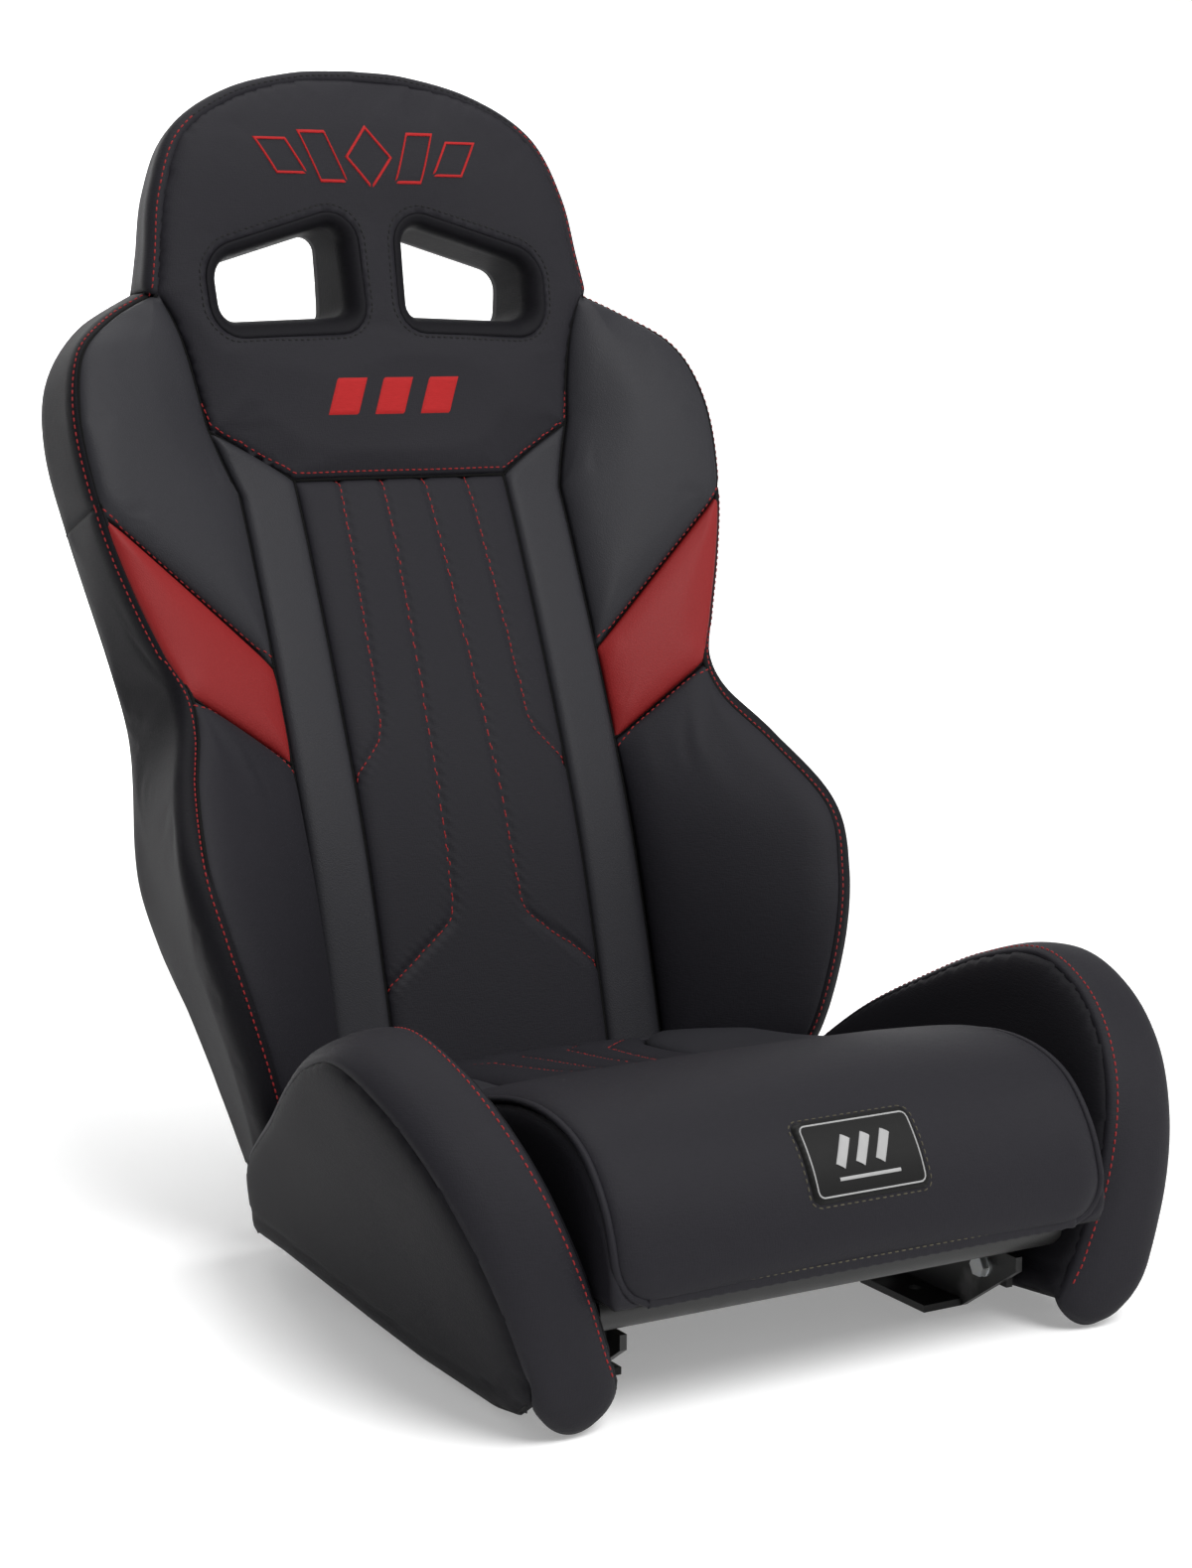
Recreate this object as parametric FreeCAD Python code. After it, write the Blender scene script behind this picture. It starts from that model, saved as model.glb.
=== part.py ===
import FreeCAD, Part
import math
import os

from FreeCAD import Placement, Rotation, Vector

# Off-road racing seat: welded tube frame, laced suspension liners, foam blocks, sewn cover
# panels, and a separate seat cushion. Millimetres. +Z is up, the sitter faces -Y, X = 0 is the
# plane of symmetry and Z = 0 is the floor that the mounting feet stand on.

# ---------------------------------------------------------------- driving dimensions
TUBE_R = 12.7            # main frame tube, 25.4 outside diameter
TUBE_WALL = 1.65
ROD_R = 6.35             # bolster loops, 12.7 round bar
BAR_R = 9.5              # small bars in the head section
SKIN = 2.0               # sewn cover with its backing
SEAM_GAP = 0.3           # between neighbouring cover panels
FOAM_GAP = 1.0           # between cover and foam
CHAMBER = 31.0           # space for the tubes between the foam and the rear panel, along Y
TUBE_BACK = 17.0         # tube centre line in front of the rear face, along Y

RAIL_X = 165.0           # side rails of the base
RAIL_Z = 69.0
FRONT_BAR_Y = -335.0
REAR_BAR_Y = 108.0

COVER_BOTTOM = 45.0      # lower hem of the back's cover
FOAM_BOTTOM = 86.0       # the back's foam starts above the side rails
FOAM_SPLIT = 600.0       # back foam below, head foam above
SHOULDER_TOP = 664.0
SHOULDER_PEAK = 674.0    # outer end of the shoulder panel's top edge
HEAD_TOP = 856.0
PLANE_BREAK = 660.0      # height where the head stands more upright than the back
REAR_SEAM = 652.0        # seam between the lower and the head's rear panel
BACK_SLOPE = 0.362       # rear face, mm of Y for each mm of Z
HEAD_SLOPE = 0.10
REAR_Y0 = 146.7          # rear face at COVER_BOTTOM

STRIPE_IN = 91.0         # half widths of the two vertical stripes' edges
STRIPE_OUT = 139.0

# Front face of the back on the centre plane: (height, y).
FRONT = [(45, 84), (180, 119), (280, 150), (385, 193), (490, 241), (560, 274), (676, 303),
         (770, 323), (820, 337), (846, 346), (870, 353)]

# Front edge of the side bolsters: (height, half width, y). Narrow and forward at the lap, a
# waist in the middle, widest at the shoulders.
SEAM = [(45, 190, 60), (84, 200, 36), (118, 209, 14), (153, 221, 10), (202, 241, 15),
        (245, 254, 27), (290, 261, 50), (335, 244, 106), (368, 225, 148), (395, 222, 169),
        (428, 236, 186), (476, 253, 204), (524, 265, 221), (580, 271, 243), (619, 266, 262),
        (645, 252, 280), (666, 220, 302), (682, 187, 312)]

# Rear edge of the side bolsters: (height, half width).
REAR_EDGE = [(45, 190), (100, 203), (152, 222), (205, 241), (255, 249), (345, 238),
             (395, 241), (505, 260), (565, 266), (615, 257), (655, 229), (682, 186)]

# Outline of the head section from the neck to the top: (half width, height).
HEAD_ARCH = [(186, 682), (181, 712), (171, 758), (148, 806), (102, 838), (46, 853), (0, 856)]

# Harness slot, right side: (x, height) of its corners, and the corner radii.
SLOT = [(26, 665), (133, 661), (135, 706), (28, 738)]
SLOT_RADII = [10, 14, 18, 12]
SLOT_LINING = 3.0

# Thigh bolster: outlines of its leaning inner and outer faces, (y, height), rear to front.
THIGH_INNER = [(48, 0), (45, 34), (32, 66), (14, 94), (-12, 121), (-60, 162), (-120, 196),
               (-175, 221), (-235, 235), (-285, 221), (-322, 193), (-347, 155), (-359, 105),
               (-358, 55), (-352, 0)]
THIGH_OUTER = [(48, 0), (46, 30), (35, 58), (18, 84), (-8, 105), (-60, 137), (-120, 178),
               (-170, 206), (-225, 222), (-276, 208), (-318, 177), (-345, 136), (-359, 92),
               (-362, 48), (-355, 0)]
THIGH_IN_X = 159.0       # inner face at the floor, and its lean
THIGH_OUT_X = 215.0
THIGH_LEAN_IN = 0.35
THIGH_LEAN_OUT = 0.34
THIGH_CENTRE = (-150, 95)

# Seat cushion side profile over its flat bottom, rear to front: (y, height).
CUSHION_TOP = [(90, 112), (40, 121), (-60, 134), (-130, 150), (-200, 171), (-257, 184),
               (-302, 184), (-338, 172), (-363, 146), (-376, 115), (-378, 90)]
CUSHION_BOTTOM = 82.4
CUSHION_HALF = 184.0
ROLL_SEAM_Y = -135.0     # joint between the quilted top and the front roll

MOUNT_HALF_X = 137.0     # floor bolt pattern
MOUNT_FRONT_Y = -240.0
MOUNT_REAR_Y = 60.0
MOUNT_HOLE_R = 4.5
BOLT_R = 4.0             # M8 bolts that hold the feet to the frame
BOLT_HOLE_R = 4.3
FOOT_BOLT_YS = (-300.0, 90.0)
FOOT_BOLT_Z = 36.0
PLATE = 5.0              # bracket and tab plate thickness

ZIP_Z = 118.0            # zip on the rear panel
ZIP_HALF = 180.0
SLIDER_X = -170.0        # closed position of the zip slider
PULL_OUT = 8.2           # pull pin, off the rear face


# ---------------------------------------------------------------- helpers
def smooth(rows, z):
    """Values at height z: a cubic through the rows, with slopes from each row's neighbours."""
    last = len(rows) - 2
    i = max(0, min(last, sum(1 for r in rows if r[0] <= z) - 1))
    a, b = rows[i], rows[i + 1]
    before, after = rows[max(i - 1, 0)], rows[min(i + 2, len(rows) - 1)]
    span = b[0] - a[0]
    t = (z - a[0]) / span
    out = []
    for k in range(1, len(a)):
        m0 = (b[k] - before[k]) / (b[0] - before[0]) * span
        m1 = (after[k] - a[k]) / (after[0] - a[0]) * span
        value = (2 * t**3 - 3 * t**2 + 1) * a[k] + (t**3 - 2 * t**2 + t) * m0
        value += (3 * t**2 - 2 * t**3) * b[k] + (t**3 - t**2) * m1
        out.append(value)
    return out


def front_y(z):
    return smooth(FRONT, z)[0]


def rear_y(z):
    """Rear face of the back: one plane up to PLANE_BREAK, a steeper one above it."""
    low = min(z, PLANE_BREAK) - COVER_BOTTOM
    return REAR_Y0 + BACK_SLOPE * low + HEAD_SLOPE * max(0.0, z - PLANE_BREAK)


def spline(points):
    curve = Part.BSplineCurve()
    curve.interpolate(points)
    return curve.toShape()


def closed_loop(points):
    return Part.makePolygon(points + [points[0]])


def box(x0, x1, y0, y1, z0, z1):
    return Part.makeBox(x1 - x0, y1 - y0, z1 - z0, Vector(x0, y0, z0))


def cylinder(radius, start, end):
    along = end - start
    return Part.makeCylinder(radius, along.Length, start, along)


def both_sides(shape):
    """The right-hand shape and its mirror image, as (side name, shape) pairs."""
    return [("right", shape), ("left", shape.mirror(Vector(0, 0, 0), Vector(1, 0, 0)))]


def save(name, shape):
    solids = shape.Solids
    if not solids:
        raise ValueError(name + " has no solid")
    whole = solids[0] if len(solids) == 1 else Part.Compound(solids)
    whole.exportStep("parts/" + name + ".step")


def rounded_path(points, radii):
    """A wire of straight runs joined by tangent arcs, one radius for each inner point."""
    edges = []
    start = points[0]
    for i in range(1, len(points) - 1):
        corner = points[i]
        back = (points[i - 1] - corner).normalize()
        ahead = (points[i + 1] - corner).normalize()
        half = back.getAngle(ahead) / 2
        reach = radii[i - 1] / math.tan(half)
        into = corner + back * reach
        out = corner + ahead * reach
        middle = (back + ahead).normalize()
        nearest = corner + middle * (radii[i - 1] / math.sin(half) - radii[i - 1])
        edges.append(Part.LineSegment(start, into).toShape())
        edges.append(Part.Arc(into, nearest, out).toShape())
        start = out
    edges.append(Part.LineSegment(start, points[-1]).toShape())
    return Part.Wire(edges)


def bar_along(points, radii, radius):
    """A round bar of the given radius along a rounded path."""
    path = rounded_path(points, radii)
    first = (points[1] - points[0]).normalize()
    ring = Part.Wire(Part.makeCircle(radius, points[0], first))
    return path.makePipeShell([ring], True, False)


def tube_along(points, radii, radius=TUBE_R, wall=TUBE_WALL):
    return bar_along(points, radii, radius).cut(bar_along(points, radii, radius - wall))


def rounded_polygon(points, radii):
    """Closed wire with its corners rounded, from 3-D points and a radius for each."""
    edges = []
    count = len(points)
    ends = []
    for i in range(count):
        corner = points[i]
        back = (points[i - 1] - corner).normalize()
        ahead = (points[(i + 1) % count] - corner).normalize()
        half = back.getAngle(ahead) / 2
        reach = radii[i] / math.tan(half)
        middle = (back + ahead).normalize()
        nearest = corner + middle * (radii[i] / math.sin(half) - radii[i])
        ends.append((corner + back * reach, nearest, corner + ahead * reach))
    for i in range(count):
        into, nearest, out = ends[i]
        edges.append(Part.Arc(into, nearest, out).toShape())
        edges.append(Part.LineSegment(out, ends[(i + 1) % count][0]).toShape())
    return Part.Wire(edges)


def prism_y(wire, y0=-60.0, y1=460.0):
    """The outline in an XZ plane at y = 0, carried from y0 to y1."""
    face = Part.Face(wire)
    face.translate(Vector(0, y0, 0))
    return face.extrude(Vector(0, y1 - y0, 0))


def slab(first, first_shift, second, second_shift):
    """Everything between two side curves, each moved along Y. 'front' is curved, 'rear' bent."""
    curves = []
    for kind, shift in ((first, first_shift), (second, second_shift)):
        if kind == "front":
            curves.append(spline([Vector(0, y + shift, z) for z, y in FRONT]))
        else:
            heights = (FRONT[0][0], PLANE_BREAK, FRONT[-1][0])
            points = [Vector(0, rear_y(z) + shift, z) for z in heights]
            curves.append(Part.makePolygon(points))
    ends = [(c.Vertexes[0].Point, c.Vertexes[-1].Point) for c in curves]
    bottom = Part.makeLine(ends[0][0], ends[1][0])
    top = Part.makeLine(ends[0][1], ends[1][1])
    edges = curves[0].Edges + [top] + curves[1].Edges + [bottom]
    face = Part.Face(Part.Wire(Part.__sortEdges__(edges)))
    face.translate(Vector(-330, 0, 0))
    return face.extrude(Vector(660, 0, 0))


def strip(inner, outer):
    """A sewn panel between two edge lines, SKIN thick along Y."""
    depth = Vector(0, SKIN, 0)
    loops = [closed_loop([a, b, b + depth, a + depth]) for a, b in zip(inner, outer)]
    return Part.makeLoft(loops, True, True)


def steps(start, end, count):
    return [start + (end - start) * i / count for i in range(count + 1)]


# ---------------------------------------------------------------- outlines of the back
def xz(points):
    return [Vector(x, 0, z) for x, z in points]


def back_outline(bottom, inset=0.0):
    """Closed outline of the whole back seen from behind, moved inwards by inset."""
    side = [(w - inset, z) for z, w in REAR_EDGE]
    side[0] = (side[0][0], bottom)
    arch = [(x * (1 - inset / 188.0), z - inset) for x, z in HEAD_ARCH]
    arch[0] = side[-1]
    right = spline(xz(side))
    over = spline(xz(arch + [(-x, z) for x, z in reversed(arch[:-1])]))
    left = spline(xz([(-x, z) for x, z in reversed(side)]))
    under = Part.makeLine(Vector(-side[0][0], 0, bottom), Vector(side[0][0], 0, bottom))
    return Part.Wire([right, over, left, under])


def head_outline(inset=0.0):
    """Closed outline of the head section above the neck."""
    arch = [(x * (1 - inset / 188.0), z - inset) for x, z in HEAD_ARCH]
    arch[0] = (arch[0][0], HEAD_ARCH[0][1])
    over = spline(xz(arch + [(-x, z) for x, z in reversed(arch[:-1])]))
    first = Vector(arch[0][0], 0, arch[0][1])
    return Part.Wire([over, Part.makeLine(Vector(-first.x, 0, first.z), first)])


def slot_prism(grow):
    """Both harness slots, grown all round, carried right through the head."""
    wire = rounded_polygon(xz(SLOT), SLOT_RADII)
    if grow:
        wire = wire.makeOffset2D(grow)
    right = prism_y(wire)
    return right.fuse(right.mirror(Vector(0, 0, 0), Vector(1, 0, 0)))


def edge_point(z):
    """Front edge of the right bolster at height z."""
    x, y = smooth(SEAM, z)
    return Vector(x, y, z)


def stripe_point(x, z):
    """A point on the front face, at half width x."""
    return Vector(x, front_y(z), z)


# ---------------------------------------------------------------- frame
def hoop_y(z):
    return rear_y(z) - TUBE_BACK


HOOP_XZ = [(RAIL_X, RAIL_Z), (230, 240), (219, 340), (219, 385), (246, 560), (222, 642)]
HOOP_RADII = [120, 150, 150, 150, 45]
HEAD_HOOP_X = 154.0
HEAD_HOOP_TOP = 830.0
HEAD_HOOP_BEND = 95.0
TOP_RUN_Z = HOOP_XZ[-1][1]
RAIL_PAST_HOOP = 8.0     # the rails run on this far behind the hoop's centre line


def back_hoop_points():
    right = [Vector(x, REAR_Y0 + BACK_SLOPE * (z - COVER_BOTTOM) - TUBE_BACK, z)
             for x, z in HOOP_XZ]
    return right + [Vector(-p.x, p.y, p.z) for p in reversed(right)]


def rails(radius=TUBE_R):
    """Side rails as plain bars, for coping what is welded to them."""
    start = Vector(RAIL_X, FRONT_BAR_Y, RAIL_Z)
    end = Vector(RAIL_X, hoop_y(RAIL_Z) + RAIL_PAST_HOOP, RAIL_Z)
    right = cylinder(radius, start, end)
    return right.fuse(right.mirror(Vector(0, 0, 0), Vector(1, 0, 0)))


def front_bar(radius=TUBE_R):
    reach = RAIL_X + TUBE_R - 1.0
    return cylinder(radius, Vector(-reach, FRONT_BAR_Y, RAIL_Z), Vector(reach, FRONT_BAR_Y, RAIL_Z))


def rear_bar(radius=TUBE_R):
    return cylinder(radius, Vector(-RAIL_X, REAR_BAR_Y, RAIL_Z), Vector(RAIL_X, REAR_BAR_Y, RAIL_Z))


def build_base_frame():
    """Front and rear cross tubes and the two side rails, coped where they are welded."""
    front = front_bar().cut(front_bar(TUBE_R - TUBE_WALL))
    save("front_cross_tube", front)
    hollow = rails().cut(rails(TUBE_R - TUBE_WALL)).cut(front_bar())
    for solid in hollow.Solids:
        side = "right" if solid.CenterOfMass.x > 0 else "left"
        save("side_rail_" + side, solid)
    rear = rear_bar().cut(rear_bar(TUBE_R - TUBE_WALL)).cut(rails())
    save("rear_cross_tube", max(rear.Solids, key=lambda s: s.Volume))


def build_back_frame():
    """Back hoop, head hoop, harness bars, lumbar tube and the round-bar loops of the wings."""
    points = back_hoop_points()
    radii = HOOP_RADII + HOOP_RADII[::-1]
    solid_hoop = bar_along(points, radii, TUBE_R)
    hoop = tube_along(points, radii).cut(rails())
    save("back_hoop", hoop)

    top_y = hoop_y(TOP_RUN_Z)
    head_solid = head_hoop_bar(TUBE_R)
    save("head_hoop", head_solid.cut(head_hoop_bar(TUBE_R - TUBE_WALL)).cut(solid_hoop))

    slope = (hoop_y(HEAD_HOOP_TOP) - top_y) / (HEAD_HOOP_TOP - TOP_RUN_Z)
    upper_z = SLOT[3][1] + SLOT_LINING + BAR_R + 2
    upper_y = top_y + slope * (upper_z - TOP_RUN_Z)
    upper_ends = (Vector(-HEAD_HOOP_X, upper_y, upper_z), Vector(HEAD_HOOP_X, upper_y, upper_z))
    upper = cylinder(BAR_R, *upper_ends)
    save("harness_bar", upper.cut(head_solid))
    divider = cylinder(BAR_R, Vector(0, top_y, TOP_RUN_Z), Vector(0, upper_y, upper_z))
    save("harness_divider", divider.cut(upper).cut(solid_hoop))

    lumbar_z = 300.0
    lumbar = cylinder(TUBE_R, Vector(-230, hoop_y(lumbar_z), lumbar_z),
                      Vector(230, hoop_y(lumbar_z), lumbar_z))
    bore = cylinder(TUBE_R - TUBE_WALL, Vector(-230, hoop_y(lumbar_z), lumbar_z),
                    Vector(230, hoop_y(lumbar_z), lumbar_z))
    pieces = lumbar.cut(bore).cut(solid_hoop).Solids
    save("lumbar_tube", max(pieces, key=lambda s: s.BoundBox.XLength))
    for side, loop in both_sides(wing_loop(ROD_R).cut(solid_hoop)):
        save("wing_loop_" + side, loop)
    return solid_hoop


def head_hoop_bar(radius):
    """Inverted U that carries the head section, standing on the back hoop's top run."""
    foot = Vector(HEAD_HOOP_X, hoop_y(TOP_RUN_Z), TOP_RUN_Z)
    corner = Vector(HEAD_HOOP_X, hoop_y(HEAD_HOOP_TOP), HEAD_HOOP_TOP)
    across_top = [Vector(-p.x, p.y, p.z) for p in (corner, foot)]
    return bar_along([foot, corner] + across_top, [HEAD_HOOP_BEND, HEAD_HOOP_BEND], radius)


def wing_loop(radius):
    """Bar loop that carries the right lumbar wing, from the hoop forwards and back."""
    points = [Vector(198, hoop_y(150), 150), Vector(205, 52, 168),
              Vector(236, 92, 285), Vector(219, hoop_y(350), 350)]
    return bar_along(points, [35, 40], radius)


def thigh_loop(radius):
    """Bar loop inside the right thigh bolster, welded to the side rail at both ends."""
    points = [Vector(RAIL_X, 4, RAIL_Z), Vector(211, 4, 72), Vector(255, -222, 197),
              Vector(233, -326, 125), Vector(211, -318, 72), Vector(RAIL_X, -300, RAIL_Z)]
    return bar_along(points, [20, 45, 30, 20], radius)


def build_thigh_loops():
    for side, loop in both_sides(thigh_loop(ROD_R).cut(rails())):
        save("thigh_loop_" + side, loop)


# ---------------------------------------------------------------- feet and fasteners
TAB_X = 155.0            # face where tab and bracket web meet
TAB_LENGTH = 36.0


def foot_bracket():
    """Right mounting bracket: a plate web under the rail with two feet that bolt down."""
    feet = ((MOUNT_FRONT_Y - 35, MOUNT_FRONT_Y + 40), (MOUNT_REAR_Y - 40, MOUNT_REAR_Y + 50))
    profile = [(-334, 50), (-334, 40), (feet[0][0], 0), (feet[0][1], 0), (feet[0][1] + 14, 15),
               (feet[1][0] - 14, 15), (feet[1][0], 0), (feet[1][1], 0), (122, 20), (122, 50)]
    web = Part.Face(closed_loop([Vector(TAB_X - PLATE, y, z) for y, z in profile]))
    bracket = web.extrude(Vector(PLATE, 0, 0))
    for start, end in feet:
        bracket = bracket.fuse(box(MOUNT_HALF_X - 18, TAB_X, start, end, 0, PLATE))
    for y in (MOUNT_FRONT_Y, MOUNT_REAR_Y):
        hole = Part.makeCylinder(MOUNT_HOLE_R, 3 * PLATE, Vector(MOUNT_HALF_X, y, -PLATE))
        bracket = bracket.cut(hole)
    for y in FOOT_BOLT_YS:
        bracket = bracket.cut(across(BOLT_HOLE_R, y, TAB_X - 3 * PLATE, TAB_X + 3 * PLATE))
    # Hook notch in the web that drops over a pin while the seat is lined up.
    notch = across(9, -196, TAB_X - 2 * PLATE, TAB_X + PLATE)
    notch.translate(Vector(0, 0, 18 - FOOT_BOLT_Z))
    return bracket.cut(notch).removeSplitter()


def across(radius, y, x0, x1):
    return cylinder(radius, Vector(x0, y, FOOT_BOLT_Z), Vector(x1, y, FOOT_BOLT_Z))


def weld_tab(y):
    """Plate tab welded under the right rail, with the bolt hole."""
    tab = box(TAB_X, TAB_X + PLATE, y - TAB_LENGTH / 2, y + TAB_LENGTH / 2, 24, RAIL_Z)
    tab = tab.cut(rails()).cut(rear_bar())
    return tab.cut(across(BOLT_HOLE_R, y, TAB_X - 10, TAB_X + 10))


def hexagon(across_flats, y, x0, x1):
    corner = across_flats / math.sqrt(3)
    points = []
    for i in range(6):
        angle = math.radians(60 * i)
        points.append(Vector(x0, y + corner * math.cos(angle),
                             FOOT_BOLT_Z + corner * math.sin(angle)))
    return Part.Face(closed_loop(points)).extrude(Vector(x1 - x0, 0, 0))


def build_feet():
    """Brackets, weld tabs, and the M8 bolts, washers and lock nuts that join them."""
    for side, bracket in both_sides(foot_bracket()):
        save("foot_bracket_" + side, bracket)
    inner = TAB_X - PLATE
    outer = TAB_X + PLATE
    groups = {"weld_tabs": [], "foot_bolts": [], "foot_washers": [], "foot_nuts": []}
    for y in FOOT_BOLT_YS:
        bolt = across(BOLT_R, y, inner - 1.6, outer + 10).fuse(hexagon(13, y, inner - 6.9, inner - 1.6))
        rings = [(inner - 1.6, inner), (outer, outer + 1.6)]
        washers = [across(8, y, a, b).cut(across(BOLT_HOLE_R, y, a, b)) for a, b in rings]
        nut = hexagon(13, y, outer + 1.6, outer + 8.1).cut(across(BOLT_R + 0.02, y, outer, outer + 20))
        tab = Part.Compound(weld_tab(y).Solids)
        for name, pieces in (("weld_tabs", [tab]), ("foot_bolts", [bolt]),
                             ("foot_washers", washers), ("foot_nuts", [nut])):
            for piece in pieces:
                groups[name] += [shape for _, shape in both_sides(piece)]
    for name, shapes in groups.items():
        save(name, Part.Compound([s for shape in shapes for s in shape.Solids]))


# ---------------------------------------------------------------- suspension liners
GROMMET_HOLE = 5.0
LINER = 2.5
LACE_R = 2.0


def grommet():
    """Eyelet on the Z axis, clamped through a liner that is LINER thick about z = 0."""
    half = LINER / 2
    section = [(3.4, -half - 0.8), (8, -half - 0.8), (8, -half - 0.02), (4.9, -half - 0.02),
               (4.9, half + 0.02), (8, half + 0.02), (8, half + 0.8), (3.4, half + 0.8)]
    face = Part.Face(closed_loop([Vector(r, 0, z) for r, z in section]))
    return face.revolve(Vector(0, 0, 0), Vector(0, 0, 1), 360)


def lean(shape, origin):
    """Turns a shape made on the XY plane so that it lies in the hoop's plane at origin."""
    angle = 90 - math.degrees(math.atan(BACK_SLOPE))
    moved = shape.copy()
    moved.Placement = Placement(origin, Rotation(Vector(1, 0, 0), angle))
    return moved


def build_liners(solid_hoop):
    """Woven liners inside the seat and back frames, their eyelets, and the lacing spans."""
    eyelets = []
    laces = []
    drop = LINER / 2 + 0.8 + LACE_R + 0.1

    seat = box(-140, 140, -312, 86, -LINER / 2, LINER / 2)
    seat_z = 76.7
    for y in steps(-295, 70, 8):
        for x in (-130, 130):
            seat = seat.cut(Part.makeCylinder(GROMMET_HOLE, 10, Vector(x, y, -5)))
            eyelet = grommet()
            eyelet.translate(Vector(x, y, seat_z))
            eyelets.append(eyelet)
            end = math.copysign(RAIL_X, x)
            lace = cylinder(LACE_R, Vector(x, y, seat_z - drop), Vector(end, y, seat_z - drop))
            laces.append(lace.cut(rails()))
    seat.translate(Vector(0, 0, seat_z))
    save("seat_liner", seat)

    low, high = 105.0, 600.0
    rise = math.sqrt(1 + BACK_SLOPE**2)
    centre = Vector(0, hoop_y(low), low)
    length = (high - low) * rise
    back = box(-160, 160, 0, length, -LINER / 2, LINER / 2)
    rows = [z for z in steps(low + 18, high - 18, 10) if abs(z - 300) > 25]
    for z in rows:
        up = (z - low) * rise
        for x in (-150, 150):
            back = back.cut(Part.makeCylinder(GROMMET_HOLE, 10, Vector(x, up, -5)))
            at = Vector(x, hoop_y(z), z)
            eyelets.append(lean(grommet(), at))
            end = math.copysign(250, x)
            lace = Part.makeCylinder(LACE_R, abs(end - x), Vector(0, 0, drop),
                                     Vector(math.copysign(1, x), 0, 0))
            inside = [s for s in lean(lace, at).cut(solid_hoop).Solids if abs(s.BoundBox.Center.x) < 220]
            laces.append(min(inside, key=lambda s: abs(s.BoundBox.Center.x)))
    back = lean(back, centre)
    lumbar_gap = box(-300, 300, hoop_y(300) - 30, hoop_y(300) + 30, 300 - 17, 300 + 17)
    parts = back.cut(lumbar_gap).Solids
    save("back_liner", Part.Compound(parts))
    save("liner_eyelets", Part.Compound([s for e in eyelets for s in e.Solids]))
    save("lacing_cord", Part.Compound([s for e in laces for s in e.Solids]))


# ---------------------------------------------------------------- foam
STRIPE_BEND = 530.0      # the stripes widen above this height
STRIPE_TOP_IN = 541.0    # slanted lower edge of the head panel
STRIPE_TOP_OUT = 580.0
HEAD_CORNER_X = 156.0
ACCENT_IN = (336.0, 405.0)     # red panel, heights of its inner edge
ACCENT_OUT = (394.0, 524.0)    # and of its outer edge
PANEL_ROWS = (14, 6, 12)       # slanted rows in the wing, accent and shoulder panels


def panel_edge(z):
    """Inner edge of the side panels: beside the stripe, then beside the head panel."""
    x = STRIPE_OUT
    if z > STRIPE_BEND:
        share = min(1.0, (z - STRIPE_BEND) / (STRIPE_TOP_OUT - STRIPE_BEND))
        x += share * (HEAD_CORNER_X - STRIPE_OUT)
    if z > STRIPE_TOP_OUT:
        neck_x, neck_z = HEAD_ARCH[0]
        x += (z - STRIPE_TOP_OUT) / (neck_z - STRIPE_TOP_OUT) * (neck_x - HEAD_CORNER_X)
    return stripe_point(x + 0.5, z)


def wing_stations():
    """Height pairs (stripe side, front edge) of the slanted rows that panels and foam share."""
    rows = [(FOAM_BOTTOM, FOAM_BOTTOM), (ACCENT_IN[0], ACCENT_OUT[0]),
            (ACCENT_IN[1], ACCENT_OUT[1]), (SHOULDER_TOP, SHOULDER_PEAK)]
    out = []
    for (low_in, low_out), (high_in, high_out), count in zip(rows, rows[1:], PANEL_ROWS):
        pairs = list(zip(steps(low_in, high_in, count), steps(low_out, high_out, count)))
        out += pairs if not out else pairs[1:]
    return out


def wing_section(z_in, z_out):
    """One slanted slice of the right wing's foam, in a plane that holds the Y direction."""
    start = panel_edge(z_in)
    edge = edge_point(z_out)
    gap = SKIN + FOAM_GAP
    slant = (edge.z - start.z) / (edge.x - start.x)

    def at(x):
        return start.z + slant * (x - start.x)

    near = STRIPE_OUT + 0.6
    rear_x = smooth(REAR_EDGE, z_out)[0] - gap - 0.5
    corner = edge.x - gap - 0.5
    back = CHAMBER + SKIN
    return closed_loop([
        Vector(near, front_y(at(near)) + gap, at(near)),
        Vector(start.x + 1, front_y(at(start.x + 1)) + gap, at(start.x + 1)),
        Vector(corner, edge.y + gap + 1.5, at(corner)),
        Vector(rear_x, rear_y(at(rear_x)) - back, at(rear_x)),
        Vector(near, rear_y(at(near)) - back, at(near))])


def trimmed(block, *covers):
    """What is left of a block inside the covers that it meets: its largest piece."""
    for cover in covers:
        block = max(block.cut(cover).Solids, key=lambda s: s.Volume)
    return block


def build_back_foam(covers):
    """Centre pad, head block and the two side bolsters of the back, trimmed to their covers."""
    front_gap = SKIN + FOAM_GAP
    pad = slab("front", front_gap, "rear", -CHAMBER - SKIN)
    half = STRIPE_OUT - 0.5
    lower = [(-half, FOAM_BOTTOM), (half, FOAM_BOTTOM), (half, FOAM_SPLIT), (-half, FOAM_SPLIT)]
    save("back_foam", prism_y(closed_loop(xz(lower))).common(pad))

    neck = [(-half, FOAM_SPLIT + 1), (half, FOAM_SPLIT + 1), (half, 684), (-half, 684)]
    block = prism_y(closed_loop(xz(neck))).fuse(prism_y(head_outline(SKIN + FOAM_GAP)))
    head = block.common(pad).cut(slot_prism(SLOT_LINING + 0.4)).removeSplitter()
    save("head_foam", trimmed(head, head_hoop_bar(TUBE_R + 0.5)))

    loops = [wing_section(inner, outer) for inner, outer in wing_stations()]
    wing = trimmed(Part.makeLoft(loops, True, True), wing_loop(ROD_R + 0.5), *covers)
    for side, foam in both_sides(wing):
        save("wing_foam_" + side, foam)


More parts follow.
